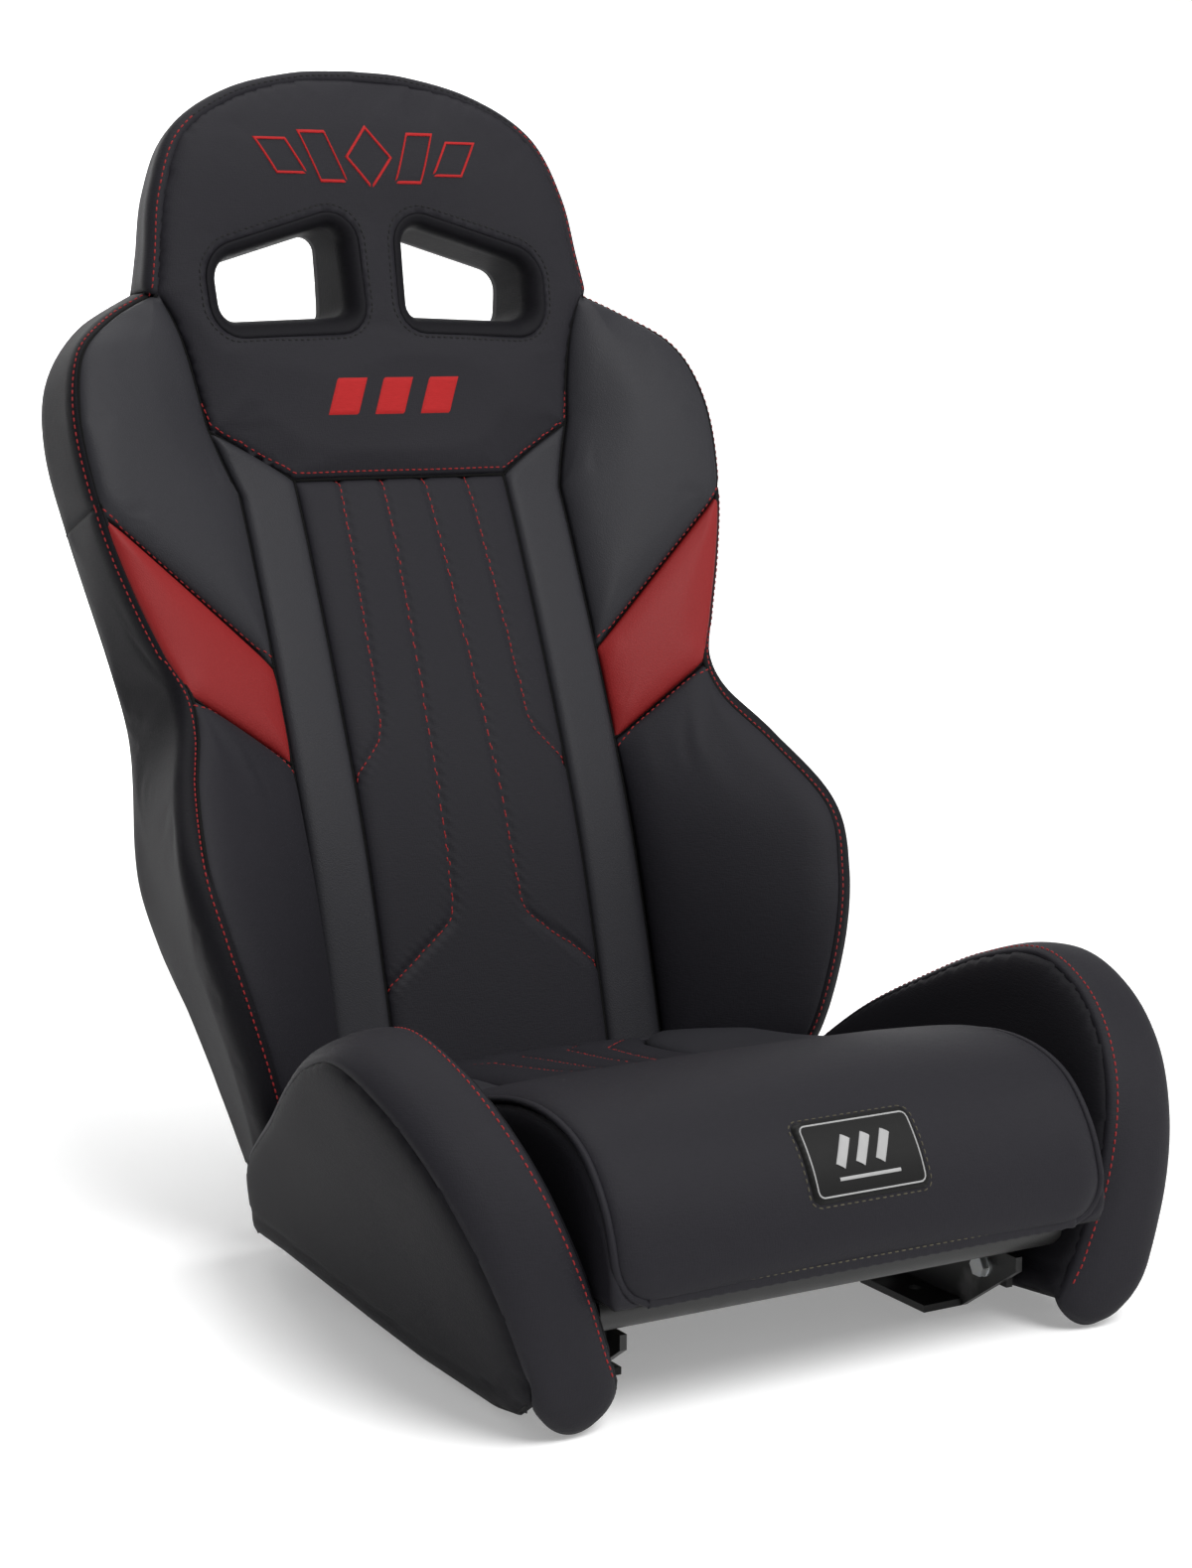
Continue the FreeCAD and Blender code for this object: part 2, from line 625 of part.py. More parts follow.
def thigh_solid(inset, bottom):
    """Right thigh bolster between its leaning faces, shrunk by inset, flat at the bottom."""
    wires = []
    faces = ((THIGH_INNER, THIGH_IN_X + inset, THIGH_LEAN_IN),
             (THIGH_OUTER, THIGH_OUT_X - inset, THIGH_LEAN_OUT))
    for outline, x0, lean_x in faces:
        points = []
        for y, z in outline:
            away = math.hypot(y - THIGH_CENTRE[0], z - THIGH_CENTRE[1])
            y_in = y + (THIGH_CENTRE[0] - y) * inset / away
            z_in = z + (THIGH_CENTRE[1] - z) * inset / away if z else bottom
            points.append(Vector(x0 + lean_x * z_in, y_in, z_in))
        wires.append(Part.Wire([spline(points), Part.makeLine(points[-1], points[0])]))
    return Part.makeLoft(wires, True, True)


def build_thighs():
    """Foam and sewn cover of the thigh bolsters; the cover is open underneath."""
    foam = thigh_solid(SKIN + FOAM_GAP, 3.0).cut(thigh_loop(ROD_R + 0.5))
    foam = max(foam.Solids, key=lambda s: s.Volume)
    cover = thigh_solid(0.0, 0.0).cut(thigh_solid(SKIN, -0.5)).cut(thigh_loop(ROD_R + 1.0))
    cover = max(cover.Solids, key=lambda s: s.Volume)
    for side, shape in both_sides(foam):
        save("thigh_foam_" + side, shape)
    for side, shape in both_sides(cover):
        save("thigh_cover_" + side, shape)


# ---------------------------------------------------------------- cover panels of the back
def panel_between(rows):
    """Sewn panel from the stripe's edge out to the bolster's front edge, over those rows."""
    return strip([panel_edge(inner) for inner, _ in rows], [edge_point(outer) for _, outer in rows])


def build_back_cover():
    """Front panels, side boxings, head band, rear panels and the padded slot linings."""
    face = slab("front", 0.0, "front", SKIN)
    half = STRIPE_IN - SEAM_GAP
    centre = [(-half, FOAM_BOTTOM), (half, FOAM_BOTTOM), (half, STRIPE_TOP_IN - SEAM_GAP),
              (-half, STRIPE_TOP_IN - SEAM_GAP)]
    save("centre_panel", prism_y(closed_loop(xz(centre))).common(face))

    stripe = [(STRIPE_IN, FOAM_BOTTOM), (STRIPE_OUT, FOAM_BOTTOM), (STRIPE_OUT, STRIPE_BEND),
              (HEAD_CORNER_X - 0.6, STRIPE_TOP_OUT - 1.2), (STRIPE_IN, STRIPE_TOP_IN - 1.0)]
    for side, shape in both_sides(prism_y(closed_loop(xz(stripe))).common(face)):
        save("stripe_" + side, shape)

    lower = [(-STRIPE_IN, STRIPE_TOP_IN), (STRIPE_IN, STRIPE_TOP_IN),
             (HEAD_CORNER_X, STRIPE_TOP_OUT), (HEAD_ARCH[0][0], HEAD_ARCH[0][1]),
             (-HEAD_ARCH[0][0], HEAD_ARCH[0][1]), (-HEAD_CORNER_X, STRIPE_TOP_OUT)]
    shield = prism_y(closed_loop(xz(lower))).fuse(prism_y(head_outline()))
    shield = shield.cut(slot_prism(SLOT_LINING + 0.2))
    head_panel = shield.common(face).removeSplitter()
    save("head_panel", head_panel)

    rows = wing_stations()
    first, second = PANEL_ROWS[0], PANEL_ROWS[0] + PANEL_ROWS[1]
    wing = panel_between(rows[:first + 1])
    accent = panel_between(rows[first:second + 1])
    shoulder = panel_between(rows[second:])
    for name, shape in (("shoulder_panel", shoulder), ("accent_panel", accent),
                        ("wing_panel", wing)):
        for side, panel in both_sides(shape):
            save(name + "_" + side, panel)

    loops = []
    for z in steps(COVER_BOTTOM, HEAD_ARCH[0][1] - 1, 28):
        edge = edge_point(z)
        start = Vector(edge.x, edge.y + SKIN + SEAM_GAP, z)
        end = Vector(smooth(REAR_EDGE, z)[0], rear_y(z) - SKIN - SEAM_GAP, z)
        depth = Vector(-SKIN, 0, 0)
        loops.append(closed_loop([start, end, end + depth, start + depth]))
    boxing = trimmed(Part.makeLoft(loops, True, True), wing, accent, shoulder)
    for side, shape in both_sides(boxing):
        save("side_boxing_" + side, shape)

    band = prism_y(head_outline()).cut(prism_y(head_outline(SKIN)))
    band = band.cut(box(-300, 300, -100, 500, 0, HEAD_ARCH[0][1] + 0.5))
    between = slab("front", SKIN + SEAM_GAP, "rear", -SKIN - SEAM_GAP)
    save("head_boxing", band.common(between))

    rear = slab("rear", -SKIN, "rear", 0.0).common(prism_y(back_outline(COVER_BOTTOM)))
    save("rear_panel", rear.cut(box(-400, 400, 0, 600, REAR_SEAM, 1000)))
    head_rear = rear.cut(box(-400, 400, 0, 600, 0, REAR_SEAM + SEAM_GAP))
    save("head_rear_panel", head_rear.cut(slot_prism(SLOT_LINING + 0.2)))

    through = slab("front", -1.0, "rear", 1.0)
    lining = slot_prism(SLOT_LINING).cut(slot_prism(0.0)).common(through)
    for solid in lining.Solids:
        side = "right" if solid.CenterOfMass.x > 0 else "left"
        save("slot_lining_" + side, solid)
    return wing, accent, shoulder, boxing, head_panel


# ---------------------------------------------------------------- seat cushion
def cushion_solid(inset, plan_front=-420.0):
    """Cushion body shrunk by inset: its side profile carried across and trimmed in plan."""
    points = []
    for i, (y, z) in enumerate(CUSHION_TOP):
        before = CUSHION_TOP[max(i - 1, 0)]
        after = CUSHION_TOP[min(i + 1, len(CUSHION_TOP) - 1)]
        along = Vector(0, after[0] - before[0], after[1] - before[1]).normalize()
        points.append(Vector(0, y - inset * along.z, z + inset * along.y))
    points[0] = Vector(0, CUSHION_TOP[0][0] - inset, points[0].z)
    low = CUSHION_BOTTOM + inset
    corners = [points[-1], Vector(0, points[-1].y + 3, low), Vector(0, points[0].y, low), points[0]]
    profile = Part.Wire([spline(points)] + Part.makePolygon(corners).Edges)
    half = CUSHION_HALF
    back = CUSHION_TOP[0][0]
    plan = [Vector(-half, plan_front, 0), Vector(half, plan_front, 0), Vector(half, 20, 0),
            Vector(128, back, 0), Vector(-128, back, 0), Vector(-half, 20, 0)]
    footprint = rounded_polygon(plan, [5, 5, 30, 20, 20, 30])
    if inset > 0:
        footprint = footprint.makeOffset2D(-inset)
    side = Part.Face(profile)
    side.translate(Vector(-260, 0, 0))
    return side.extrude(Vector(520, 0, 0)), Part.Face(footprint).extrude(Vector(0, 0, 300))


def build_cushion():
    """Foam, the cover's panels, the moulded badge and the hook-and-loop strips."""
    bar, plan = cushion_solid(0.0)
    inner_bar, inner_plan = cushion_solid(SKIN)
    foam_bar, foam_plan = cushion_solid(SKIN + FOAM_GAP)
    save("cushion_foam", foam_bar.common(foam_plan))

    floor_top = CUSHION_BOTTOM + SKIN
    save("cushion_bottom_panel", bar.common(plan).cut(box(-300, 300, -500, 300, floor_top, 400)))
    above = box(-300, 300, -500, 300, floor_top + SEAM_GAP, 400)
    band = bar.common(plan).cut(inner_plan).common(above)
    save("cushion_side_band", band)
    skin = bar.cut(inner_bar).common(cushion_solid(SKIN + SEAM_GAP)[1]).common(above)
    roll = skin.common(box(-300, 300, -500, ROLL_SEAM_Y, 0, 400))
    save("cushion_front_roll", roll)
    top = skin.common(box(-300, 300, ROLL_SEAM_Y + SEAM_GAP, 300, 0, 400))
    save("cushion_top_panel", max(top.Solids, key=lambda s: s.Volume))

    # The badge is a thin pad that follows the roll: a slice just outside the cover.
    outer_bar = cushion_solid(-2.8)[0]
    near_bar = cushion_solid(-0.2)[0]
    frame = rounded_polygon([Vector(-45, 0, -26), Vector(45, 0, -26), Vector(45, 0, 26),
                             Vector(-45, 0, 26)], [6, 6, 6, 6])
    cutter = Part.Face(frame).extrude(Vector(0, -40, 0))
    cutter.rotate(Vector(0, 0, 0), Vector(1, 0, 0), -28)
    cutter.translate(Vector(0, -345, 138))
    save("badge", outer_bar.cut(near_bar).common(cutter))

    hooks = []
    loops = []
    for x in (-90, 60):
        hooks.append(box(x, x + 30, -285, 40, 80.2, CUSHION_BOTTOM - 0.1))
        loops.append(box(x, x + 30, -285, 40, 78.0, 79.9))
    save("hook_strips", Part.Compound(hooks))
    save("loop_strips", Part.Compound(loops))


# ---------------------------------------------------------------- zip on the rear panel
def on_rear(shape):
    """Moves a shape made flat (X across, Y off the face, Z up it) onto the rear panel."""
    angle = -math.degrees(math.atan(BACK_SLOPE))
    moved = shape.copy()
    moved.Placement = Placement(Vector(0, rear_y(ZIP_Z) + 0.1, ZIP_Z), Rotation(Vector(1, 0, 0), angle))
    return moved


def build_zip():
    """Zip tape with its tooth row, the slider that runs along it, and the hanging pull."""
    tape = box(-ZIP_HALF - 5, ZIP_HALF + 5, 0, 1.0, -14, 14)
    teeth = box(-ZIP_HALF, ZIP_HALF, 1.0, 2.6, -2.5, 2.5)
    save("zip_tape", on_rear(tape.fuse(teeth)))

    wide = 5.5
    body = box(SLIDER_X - wide, SLIDER_X + wide, 1.3, 5.4, -6.5, 6.5)
    body = body.cut(box(SLIDER_X - 10, SLIDER_X + 10, 0, 2.95, -2.9, 2.9))
    for x in (SLIDER_X - wide, SLIDER_X + wide - 1.4):
        body = body.fuse(box(x, x + 1.4, 5.4, PULL_OUT + 1.6, -2, 2))
    pin = Part.makeCylinder(0.9, 2 * wide, Vector(SLIDER_X - wide, PULL_OUT, 0), Vector(1, 0, 0))
    save("zip_slider", on_rear(body.fuse(pin)))

    lean_angle = math.atan(BACK_SLOPE)
    eye = Vector(SLIDER_X, rear_y(ZIP_Z) + 0.1 + PULL_OUT * math.cos(lean_angle),
                 ZIP_Z - PULL_OUT * math.sin(lean_angle))
    grip = 3.8
    start = eye - Vector(grip, 0, 0)
    pull = Part.makeCylinder(2.3, 2 * grip, start, Vector(1, 0, 0))
    blade = box(-grip, grip, -0.8, 0.8, -26, -1.5)
    blade.translate(eye)
    pull = pull.fuse(blade).cut(Part.makeCylinder(1.2, 2 * grip, start, Vector(1, 0, 0)))
    window = box(-1.8, 1.8, -3, 3, -22, -8)
    window.translate(eye)
    save("zip_pull", pull.cut(window))


os.makedirs("parts", exist_ok=True)
build_base_frame()
hoop_solid = build_back_frame()
build_thigh_loops()
build_feet()
build_liners(hoop_solid)
build_back_foam(build_back_cover())
build_thighs()
build_cushion()
build_zip()
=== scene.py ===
import math

import bpy
import numpy as np
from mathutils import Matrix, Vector
from mathutils.bvhtree import BVHTree
from mathutils.geometry import delaunay_2d_cdt


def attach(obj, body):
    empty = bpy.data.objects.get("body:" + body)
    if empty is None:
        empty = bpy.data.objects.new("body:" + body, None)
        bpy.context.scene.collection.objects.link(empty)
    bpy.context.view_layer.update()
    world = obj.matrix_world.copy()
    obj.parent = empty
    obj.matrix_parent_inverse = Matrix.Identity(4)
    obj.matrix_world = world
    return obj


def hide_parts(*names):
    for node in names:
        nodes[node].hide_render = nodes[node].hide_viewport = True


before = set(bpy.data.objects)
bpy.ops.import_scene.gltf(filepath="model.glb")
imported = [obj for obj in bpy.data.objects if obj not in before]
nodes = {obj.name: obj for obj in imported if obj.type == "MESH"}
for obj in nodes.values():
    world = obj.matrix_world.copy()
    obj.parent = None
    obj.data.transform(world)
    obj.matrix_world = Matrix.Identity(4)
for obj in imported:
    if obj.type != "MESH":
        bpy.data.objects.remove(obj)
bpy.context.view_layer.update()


# ---------------------------------------------------------------- studio
# A pale floor that sweeps up behind the seat, four soft lights, and a long-lens camera low in
# front of the seat's left corner.
sweep_near, sweep_far, sweep_radius, sweep_top = -4.0, 3.0, 1.2, 4.0
stage_half_width = 6.0
turn = np.linspace(0, math.pi / 2, 24)
sweep_y = np.concatenate([[sweep_near], sweep_far + sweep_radius * np.sin(turn),
                          [sweep_far + sweep_radius]])
sweep_z = np.concatenate([[0.0], sweep_radius * (1 - np.cos(turn)), [sweep_top]])


def grid_object(name, points, facing=(0, -1, 0), away_from=None, wrap=False):
    """A mesh of quads over a grid of points, turned so that its faces look along `facing`, or
    away from `away_from`: one point, or one for each face. `wrap` joins the last column to the
    first."""
    rows, columns = points.shape[:2]
    index = np.arange(rows * columns).reshape(rows, columns)
    if wrap:
        index = np.concatenate([index, index[:, :1]], axis=1)
    quads = np.stack([index[:-1, :-1], index[:-1, 1:], index[1:, 1:], index[1:, :-1]], axis=-1)
    quads = quads.reshape(-1, 4)
    flat = points.reshape(-1, 3)
    corner = flat[quads]
    normal = np.cross(corner[:, 2] - corner[:, 0], corner[:, 3] - corner[:, 1])
    outward = np.asarray(facing, float)
    if away_from is not None:
        outward = corner.mean(axis=1) - np.asarray(away_from)
    if np.sum(normal * outward) < 0:
        quads = quads[:, ::-1]
    return mesh_object(name, flat, quads)


def mesh_object(name, points, faces):
    """A smooth-shaded object at the origin with these points and faces."""
    faces = faces if isinstance(faces, list) else faces.tolist()
    mesh = bpy.data.meshes.new(name)
    mesh.from_pydata(np.reshape(points, (-1, 3)).tolist(), [], faces)
    mesh.polygons.foreach_set("use_smooth", np.ones(len(mesh.polygons), bool))
    made = bpy.data.objects.new(name, mesh)
    bpy.context.collection.objects.link(made)
    return made


def places(*coordinates):
    """Points from their coordinates, given as numbers or arrays whose shapes fit together."""
    return np.stack(np.broadcast_arrays(*coordinates), axis=-1)


sweep = places([-stage_half_width, stage_half_width], sweep_y[:, None], sweep_z[:, None])
floor = grid_object("floor", sweep, facing=(0, -1, 1))


class Wire:
    """An output socket of a shader. Arithmetic on it adds a Math node and gives its output."""

    def __init__(self, finish, socket):
        self.finish = finish
        self.socket = socket

    def math(self, operation, *values):
        return self.finish.node("ShaderNodeMath", {"operation": operation}, *values)

    def __add__(self, other):
        return self.math("ADD", self, other)

    def __mul__(self, other):
        return self.math("MULTIPLY", self, other)


class Finish:
    """A material being written: a Principled shader with nodes in front of it."""

    def __init__(self, name, **constants):
        self.material = bpy.data.materials.new(name)
        self.material.use_nodes = True
        self.tree = self.material.node_tree
        self.shader = self.tree.nodes["Principled BSDF"]
        for socket, value in constants.items():
            self.feed(self.shader.inputs[socket.replace("_", " ")], value)

    def feed(self, socket, value):
        if isinstance(value, Wire):
            self.tree.links.new(value.socket, socket)
        else:
            socket.default_value = value

    def node(self, kind, settings=None, *values, output=0, **sockets):
        """Adds a node: its settings first, then its sockets by order or by name."""
        made = self.tree.nodes.new(kind)
        for key, value in (settings or {}).items():
            setattr(made, key, value)
        for key, value in list(enumerate(values)) + list(sockets.items()):
            self.feed(made.inputs[key], value)
        return Wire(self, made.outputs[output])

    def place(self, stretch=(1, 1, 1)):
        """The surface's own place in metres, stretched along the three axes."""
        where = self.node("ShaderNodeTexCoord", output="Object")
        return self.node("ShaderNodeMapping", None, Vector=where, Scale=stretch)

    def noise(self, scale, detail=2.0, stretch=(1, 1, 1)):
        return self.node("ShaderNodeTexNoise", None, Vector=self.place(stretch), Scale=scale,
                         Detail=detail)

    def cells(self, scale):
        return self.node("ShaderNodeTexVoronoi", None, Vector=self.place(), Scale=scale)

    def mix(self, factor, first, second):
        """Colour between first and second."""
        made = self.node("ShaderNodeMix", {"data_type": "RGBA"}, output=2)
        for socket, value in ((0, factor), (6, first), (7, second)):
            self.feed(made.socket.node.inputs[socket], value)
        return made

    def colour(self, value):
        self.feed(self.shader.inputs["Base Color"], value)

    def roughness(self, value):
        self.feed(self.shader.inputs["Roughness"], value)

    def bump(self, height, depth, strength=1.0):
        """Relief of the given depth in metres."""
        raised = self.node("ShaderNodeBump", None, Height=height, Distance=depth,
                           Strength=strength)
        self.feed(self.shader.inputs["Normal"], raised)


def grey(value, tint=(1.0, 1.0, 1.0)):
    return (value * tint[0], value * tint[1], value * tint[2], 1.0)


def floor_paint():
    paint = Finish("floor_paint", Roughness=0.9, Specular_IOR_Level=0.1, Emission_Strength=0.28,
                   Emission_Color=grey(1.0))
    paint.colour(paint.mix(paint.noise(1.5), grey(0.80), grey(0.84)))
    return paint.material


def wear(piece, *materials):
    """Puts these materials on a piece, in place of any it came with."""
    piece.data.materials.clear()
    for material in materials:
        piece.data.materials.append(material)


wear(floor, floor_paint())


def soft_light(name, place, target, size, watts):
    lamp = bpy.data.lights.new(name, "AREA")
    lamp.shape = "DISK"
    lamp.size = size
    lamp.energy = watts
    holder = bpy.data.objects.new(name, lamp)
    holder.location = place
    holder.rotation_euler = (Vector(target) - Vector(place)).to_track_quat("-Z", "Y").to_euler()
    bpy.context.collection.objects.link(holder)


soft_light("key_light", (0.3, -2.6, 3.2), (0, 0, 0.3), 2.2, 135)
soft_light("fill_light", (2.6, -1.8, 1.8), (0, 0, 0.4), 2.4, 36)
soft_light("top_light", (0.2, 0.6, 3.2), (0, 0, 0.4), 2.6, 60)
soft_light("backdrop_light", (0.6, 2.6, 2.3), (0.9, 5.0, 1.0), 2.4, 110)
studio = bpy.data.worlds.new("studio")
studio.use_nodes = True
studio.node_tree.nodes["Background"].inputs["Color"].default_value = grey(1.0)
studio.node_tree.nodes["Background"].inputs["Strength"].default_value = 0.30
bpy.context.scene.world = studio
bpy.context.scene.view_settings.view_transform = "Standard"

lens = bpy.data.cameras.new("camera")
lens.lens = 69.4
lens.sensor_width = 36.0
lens.clip_end = 50.0
camera = bpy.data.objects.new("camera", lens)
camera.location = (-1.059, -1.865, 0.673)
turned = math.radians(-30.09)
raised = math.radians(8.97)
looking = Vector((-math.sin(turned) * math.cos(raised), math.cos(turned) * math.cos(raised),
                  -math.sin(raised)))
camera.rotation_euler = looking.to_track_quat("-Z", "Y").to_euler()
bpy.context.collection.objects.link(camera)
bpy.context.scene.camera = camera


# ---------------------------------------------------------------- welded frame and brackets
# Steel tube and round bar, welded and powder coated black. The coat has a faint orange-peel
# relief, and is rubbed thinner on the brackets and tabs where they are bolted down.
frame_nodes = ["front_cross_tube", "rear_cross_tube", "side_rail_left", "side_rail_right",
               "back_hoop", "head_hoop", "harness_bar", "harness_divider", "lumbar_tube",
               "wing_loop_left", "wing_loop_right", "thigh_loop_left", "thigh_loop_right"]
bracket_nodes = ["foot_bracket_left", "foot_bracket_right", "weld_tabs"]


def powder_coat(name, rubbed):
    """Satin black paint. `rubbed` is how much bare grey shows through in patches."""
    coat = Finish(name, Specular_IOR_Level=0.4)
    patches = coat.noise(22, 6)
    worn = coat.node("ShaderNodeMapRange", {"clamp": True}, Value=patches)
    for socket, value in (("From Min", 0.62), ("From Max", 0.75), ("To Max", rubbed)):
        worn.socket.node.inputs[socket].default_value = value
    coat.colour(coat.mix(worn, grey(0.012), grey(0.11)))
    coat.roughness(coat.noise(60, 4) * 0.2 + 0.32)
    coat.bump(coat.noise(900, 3), 0.0002, 0.5)
    return coat.material


tube_coat = powder_coat("powder_coat", 0.15)
bracket_coat = powder_coat("rubbed_powder_coat", 0.6)
for node in frame_nodes:
    wear(nodes[node], tube_coat)
for node in bracket_nodes:
    wear(nodes[node], bracket_coat)


# ---------------------------------------------------------------- bolts, washers and lock nuts
# M8 fasteners, rolled and zinc plated, with a faint yellow-blue passivation.
def zinc():
    plate = Finish("zinc_plate", Metallic=1.0)
    plate.colour(plate.mix(plate.noise(160, 4), (0.60, 0.60, 0.56, 1), (0.50, 0.53, 0.58, 1)))
    plate.roughness(plate.noise(500, 3, (1, 6, 6)) * 0.25 + 0.24)
    plate.bump(plate.noise(1500, 2, (1, 8, 8)), 0.00006, 0.6)
    return plate.material


zinc_plate = zinc()
for node in ("foot_bolts", "foot_washers", "foot_nuts"):
    wear(nodes[node], zinc_plate)


# ---------------------------------------------------------------- suspension liners and lacing
# Coated polyester mesh, hemmed and hung from the tubes by elastic lacing through rolled eyelets.
thread_pitch = 0.0026


def sling_mesh():
    """Plain weave: two sets of threads that pass over and under each other."""
    cloth = Finish("sling_mesh", Roughness=0.7, Specular_IOR_Level=0.3)
    spread = 2 * math.pi / thread_pitch
    along = cloth.place((spread, spread, spread))
    split = [cloth.node("ShaderNodeSeparateXYZ", None, along, output=axis) for axis in range(3)]
    waves = [part.math("SINE", part) for part in split]
    weave = waves[0] * (waves[1] + waves[2])
    cloth.colour(cloth.mix(weave * 0.5 + 0.5, grey(0.010), grey(0.035)))
    cloth.bump(weave, 0.0004, 0.7)
    return cloth.material


def braid():
    cord = Finish("elastic_braid", Roughness=0.75)
    cord.colour(cord.mix(cord.noise(900, 2), grey(0.015), grey(0.06)))
    cord.bump(cord.noise(1400, 1), 0.0003)
    return cord.material


def rolled_brass():
    brass = Finish("rolled_brass", Metallic=1.0)
    brass.colour(brass.mix(brass.noise(240, 5), (0.55, 0.40, 0.17, 1), (0.36, 0.26, 0.12, 1)))
    brass.roughness(brass.noise(300, 3) * 0.25 + 0.25)
    return brass.material


sling = sling_mesh()
for node in ("seat_liner", "back_liner"):
    wear(nodes[node], sling)
wear(nodes["liner_eyelets"], rolled_brass())
wear(nodes["lacing_cord"], braid())


# ---------------------------------------------------------------- shape of the back
# The cover of the back is cut to these lines. The front face is one curve in side view, the
# bolsters' front edge is a seam that swings in at the waist, and the rear face is flat with one
# bend behind the neck. Every table runs upwards and starts with the height.
front_line = [(.045, .084), (.180, .119), (.280, .150), (.385, .193), (.490, .241),
              (.560, .274), (.676, .303), (.770, .323), (.820, .337), (.846, .346), (.870, .353)]
bolster_seam = [(.045, .196, .062), (.084, .209, .038), (.118, .221, .017), (.153, .232, .011),
                (.202, .246, .014), (.245, .256, .026), (.290, .261, .050), (.335, .244, .106),
                (.368, .225, .148), (.395, .222, .169), (.428, .236, .186), (.476, .253, .204),
                (.524, .265, .221), (.580, .271, .243), (.619, .266, .262), (.645, .252, .280),
                (.666, .220, .302), (.682, .187, .312)]
rear_corner = [(.045, .195), (.100, .207), (.152, .221), (.205, .237), (.255, .245),
               (.345, .236), (.395, .241), (.505, .261), (.565, .268), (.615, .259),
               (.655, .229), (.682, .184)]
stripe_in, stripe_out = .091, .139
hem_z, foam_z, neck_z = .045, .086, .682
stripe_bend, stripe_top_in, stripe_top_out = .530, .541, .580
head_corner_x = .156
back_slope = .362
shoulder_seam = [(.580, .156), (.620, .1625), (.648, .1690), (.665, .1755), (.676, .1815),
                 (.682, .1865)]


def follow(rows, at):
    """Values of the rows' later columns at each `at`: a cubic through the rows, whose slope at
    a row is the slope between its two neighbours."""
    rows = np.asarray(rows, float)
    key, value = rows[:, 0], rows[:, 1:]
    last = len(rows) - 1
    after = np.minimum(np.arange(last + 1) + 1, last)
    before = np.maximum(np.arange(last + 1) - 1, 0)
    slope = (value[after] - value[before]) / (key[after] - key[before])[:, None]
    at = np.asarray(at, float)
    i = np.clip(np.searchsorted(key, at, side="right") - 1, 0, last - 1)
    span = (key[i + 1] - key[i])[..., None]
    t = ((at - key[i])[..., None]) / span
    out = (2 * t**3 - 3 * t**2 + 1) * value[i] + (t**3 - 2 * t**2 + t) * slope[i] * span
    out += (3 * t**2 - 2 * t**3) * value[i + 1] + (t**3 - t**2) * slope[i + 1] * span
    return out


def front_y(z):
    return follow(front_line, z)[..., 0]


def rear_y(z):
    """The rear face: two planes that meet behind the neck, where the cover is pulled in."""
    slope_head, bend_z, start_y, pull = .10, .660, .1467, .008
    low = np.minimum(z, bend_z) - hem_z
    neck = np.clip((z - .60) / .10, 0, 1)
    plane = start_y + back_slope * low + slope_head * np.maximum(0, z - bend_z)
    return plane - pull * neck**2 * (3 - 2 * neck)


def inner_edge(z):
    """Where the side panels start: beside the stripe, then beside the head panel."""
    share = np.clip((z - stripe_bend) / (stripe_top_out - stripe_bend), 0, 1)
    x = stripe_out + share * (head_corner_x - stripe_out)
    x = x + follow(shoulder_seam, np.clip(z, stripe_top_out, neck_z))[..., 0] - head_corner_x
    return places(x, front_y(z), z)


def outer_edge(z):
    """The front edge of the right bolster."""
    seam = follow(bolster_seam, z)
    return places(seam[..., 0], seam[..., 1], z)


def smooth_line(points, count):
    """`count` points evenly spaced along a smooth curve through the given points."""
    points = np.asarray(points, float)
    gone = np.linalg.norm(np.diff(points, axis=0), axis=1)
    key = np.concatenate([[0], np.cumsum(gone)])
    fine = follow(np.column_stack([key, points]), np.linspace(0, key[-1], 40 * len(points)))
    return evenly(fine, count)


def evenly(line, count):
    """The same line with `count` points evenly spaced along it."""
    gone = np.concatenate([[0], np.cumsum(np.linalg.norm(np.diff(line, axis=0), axis=1))])
    at = np.linspace(0, gone[-1], count)
    return np.stack([np.interp(at, gone, line[:, k]) for k in range(line.shape[1])], axis=-1)


def grid_normals(points):
    """Unit normals of a grid of points, from the steps along its rows and columns."""
    normal = np.cross(np.gradient(points, axis=1), np.gradient(points, axis=0))
    length = np.linalg.norm(normal, axis=-1, keepdims=True)
    return normal / np.maximum(length, 1e-12)


def edge_distances(points):
    """Distance of every grid point from the sides and from the ends, along the grid lines."""
    def along(axis):
        step = np.linalg.norm(np.diff(points, axis=axis), axis=-1)
        first = np.zeros_like(np.take(step, [0], axis=axis))
        gone = np.concatenate([first, np.cumsum(step, axis=axis)], axis=axis)
        return np.minimum(gone, np.take(gone, [-1], axis=axis) - gone)
    return along(1), along(0)


def swell(distance, width):
    """0 on a seam, rising like a quarter circle to 1 at `width` from it."""
    t = np.clip(distance / width, 0, 1)
    return np.sqrt(t * (2 - t))


seam_tuck = .0022


def crowned(points, outward, crown, width, bulge=0.0):
    """A panel pulled over foam: its edges are tucked in at the seams, its middle stands `crown`
    proud within `width` of them, and `bulge` more at the centre along a sine."""
    normal = grid_normals(points)
    if np.sum(normal * outward) < 0:
        normal = -normal
    side, end = edge_distances(points)
    rise = swell(side, width) * swell(end, width)
    u = np.linspace(0, 1, points.shape[1])[None, :]
    v = np.linspace(0, 1, points.shape[0])[:, None]
    lift = -seam_tuck + (seam_tuck + crown) * rise
    lift = lift + bulge * np.sin(math.pi * u) * np.sin(math.pi * v) ** 0.5
    return points + normal * lift[..., None]


def mirror(points):
    return points * np.array([-1, 1, 1])


sides = (("right", 1), ("left", -1))


def at_side(points, sign):
    return points if sign > 0 else mirror(points)


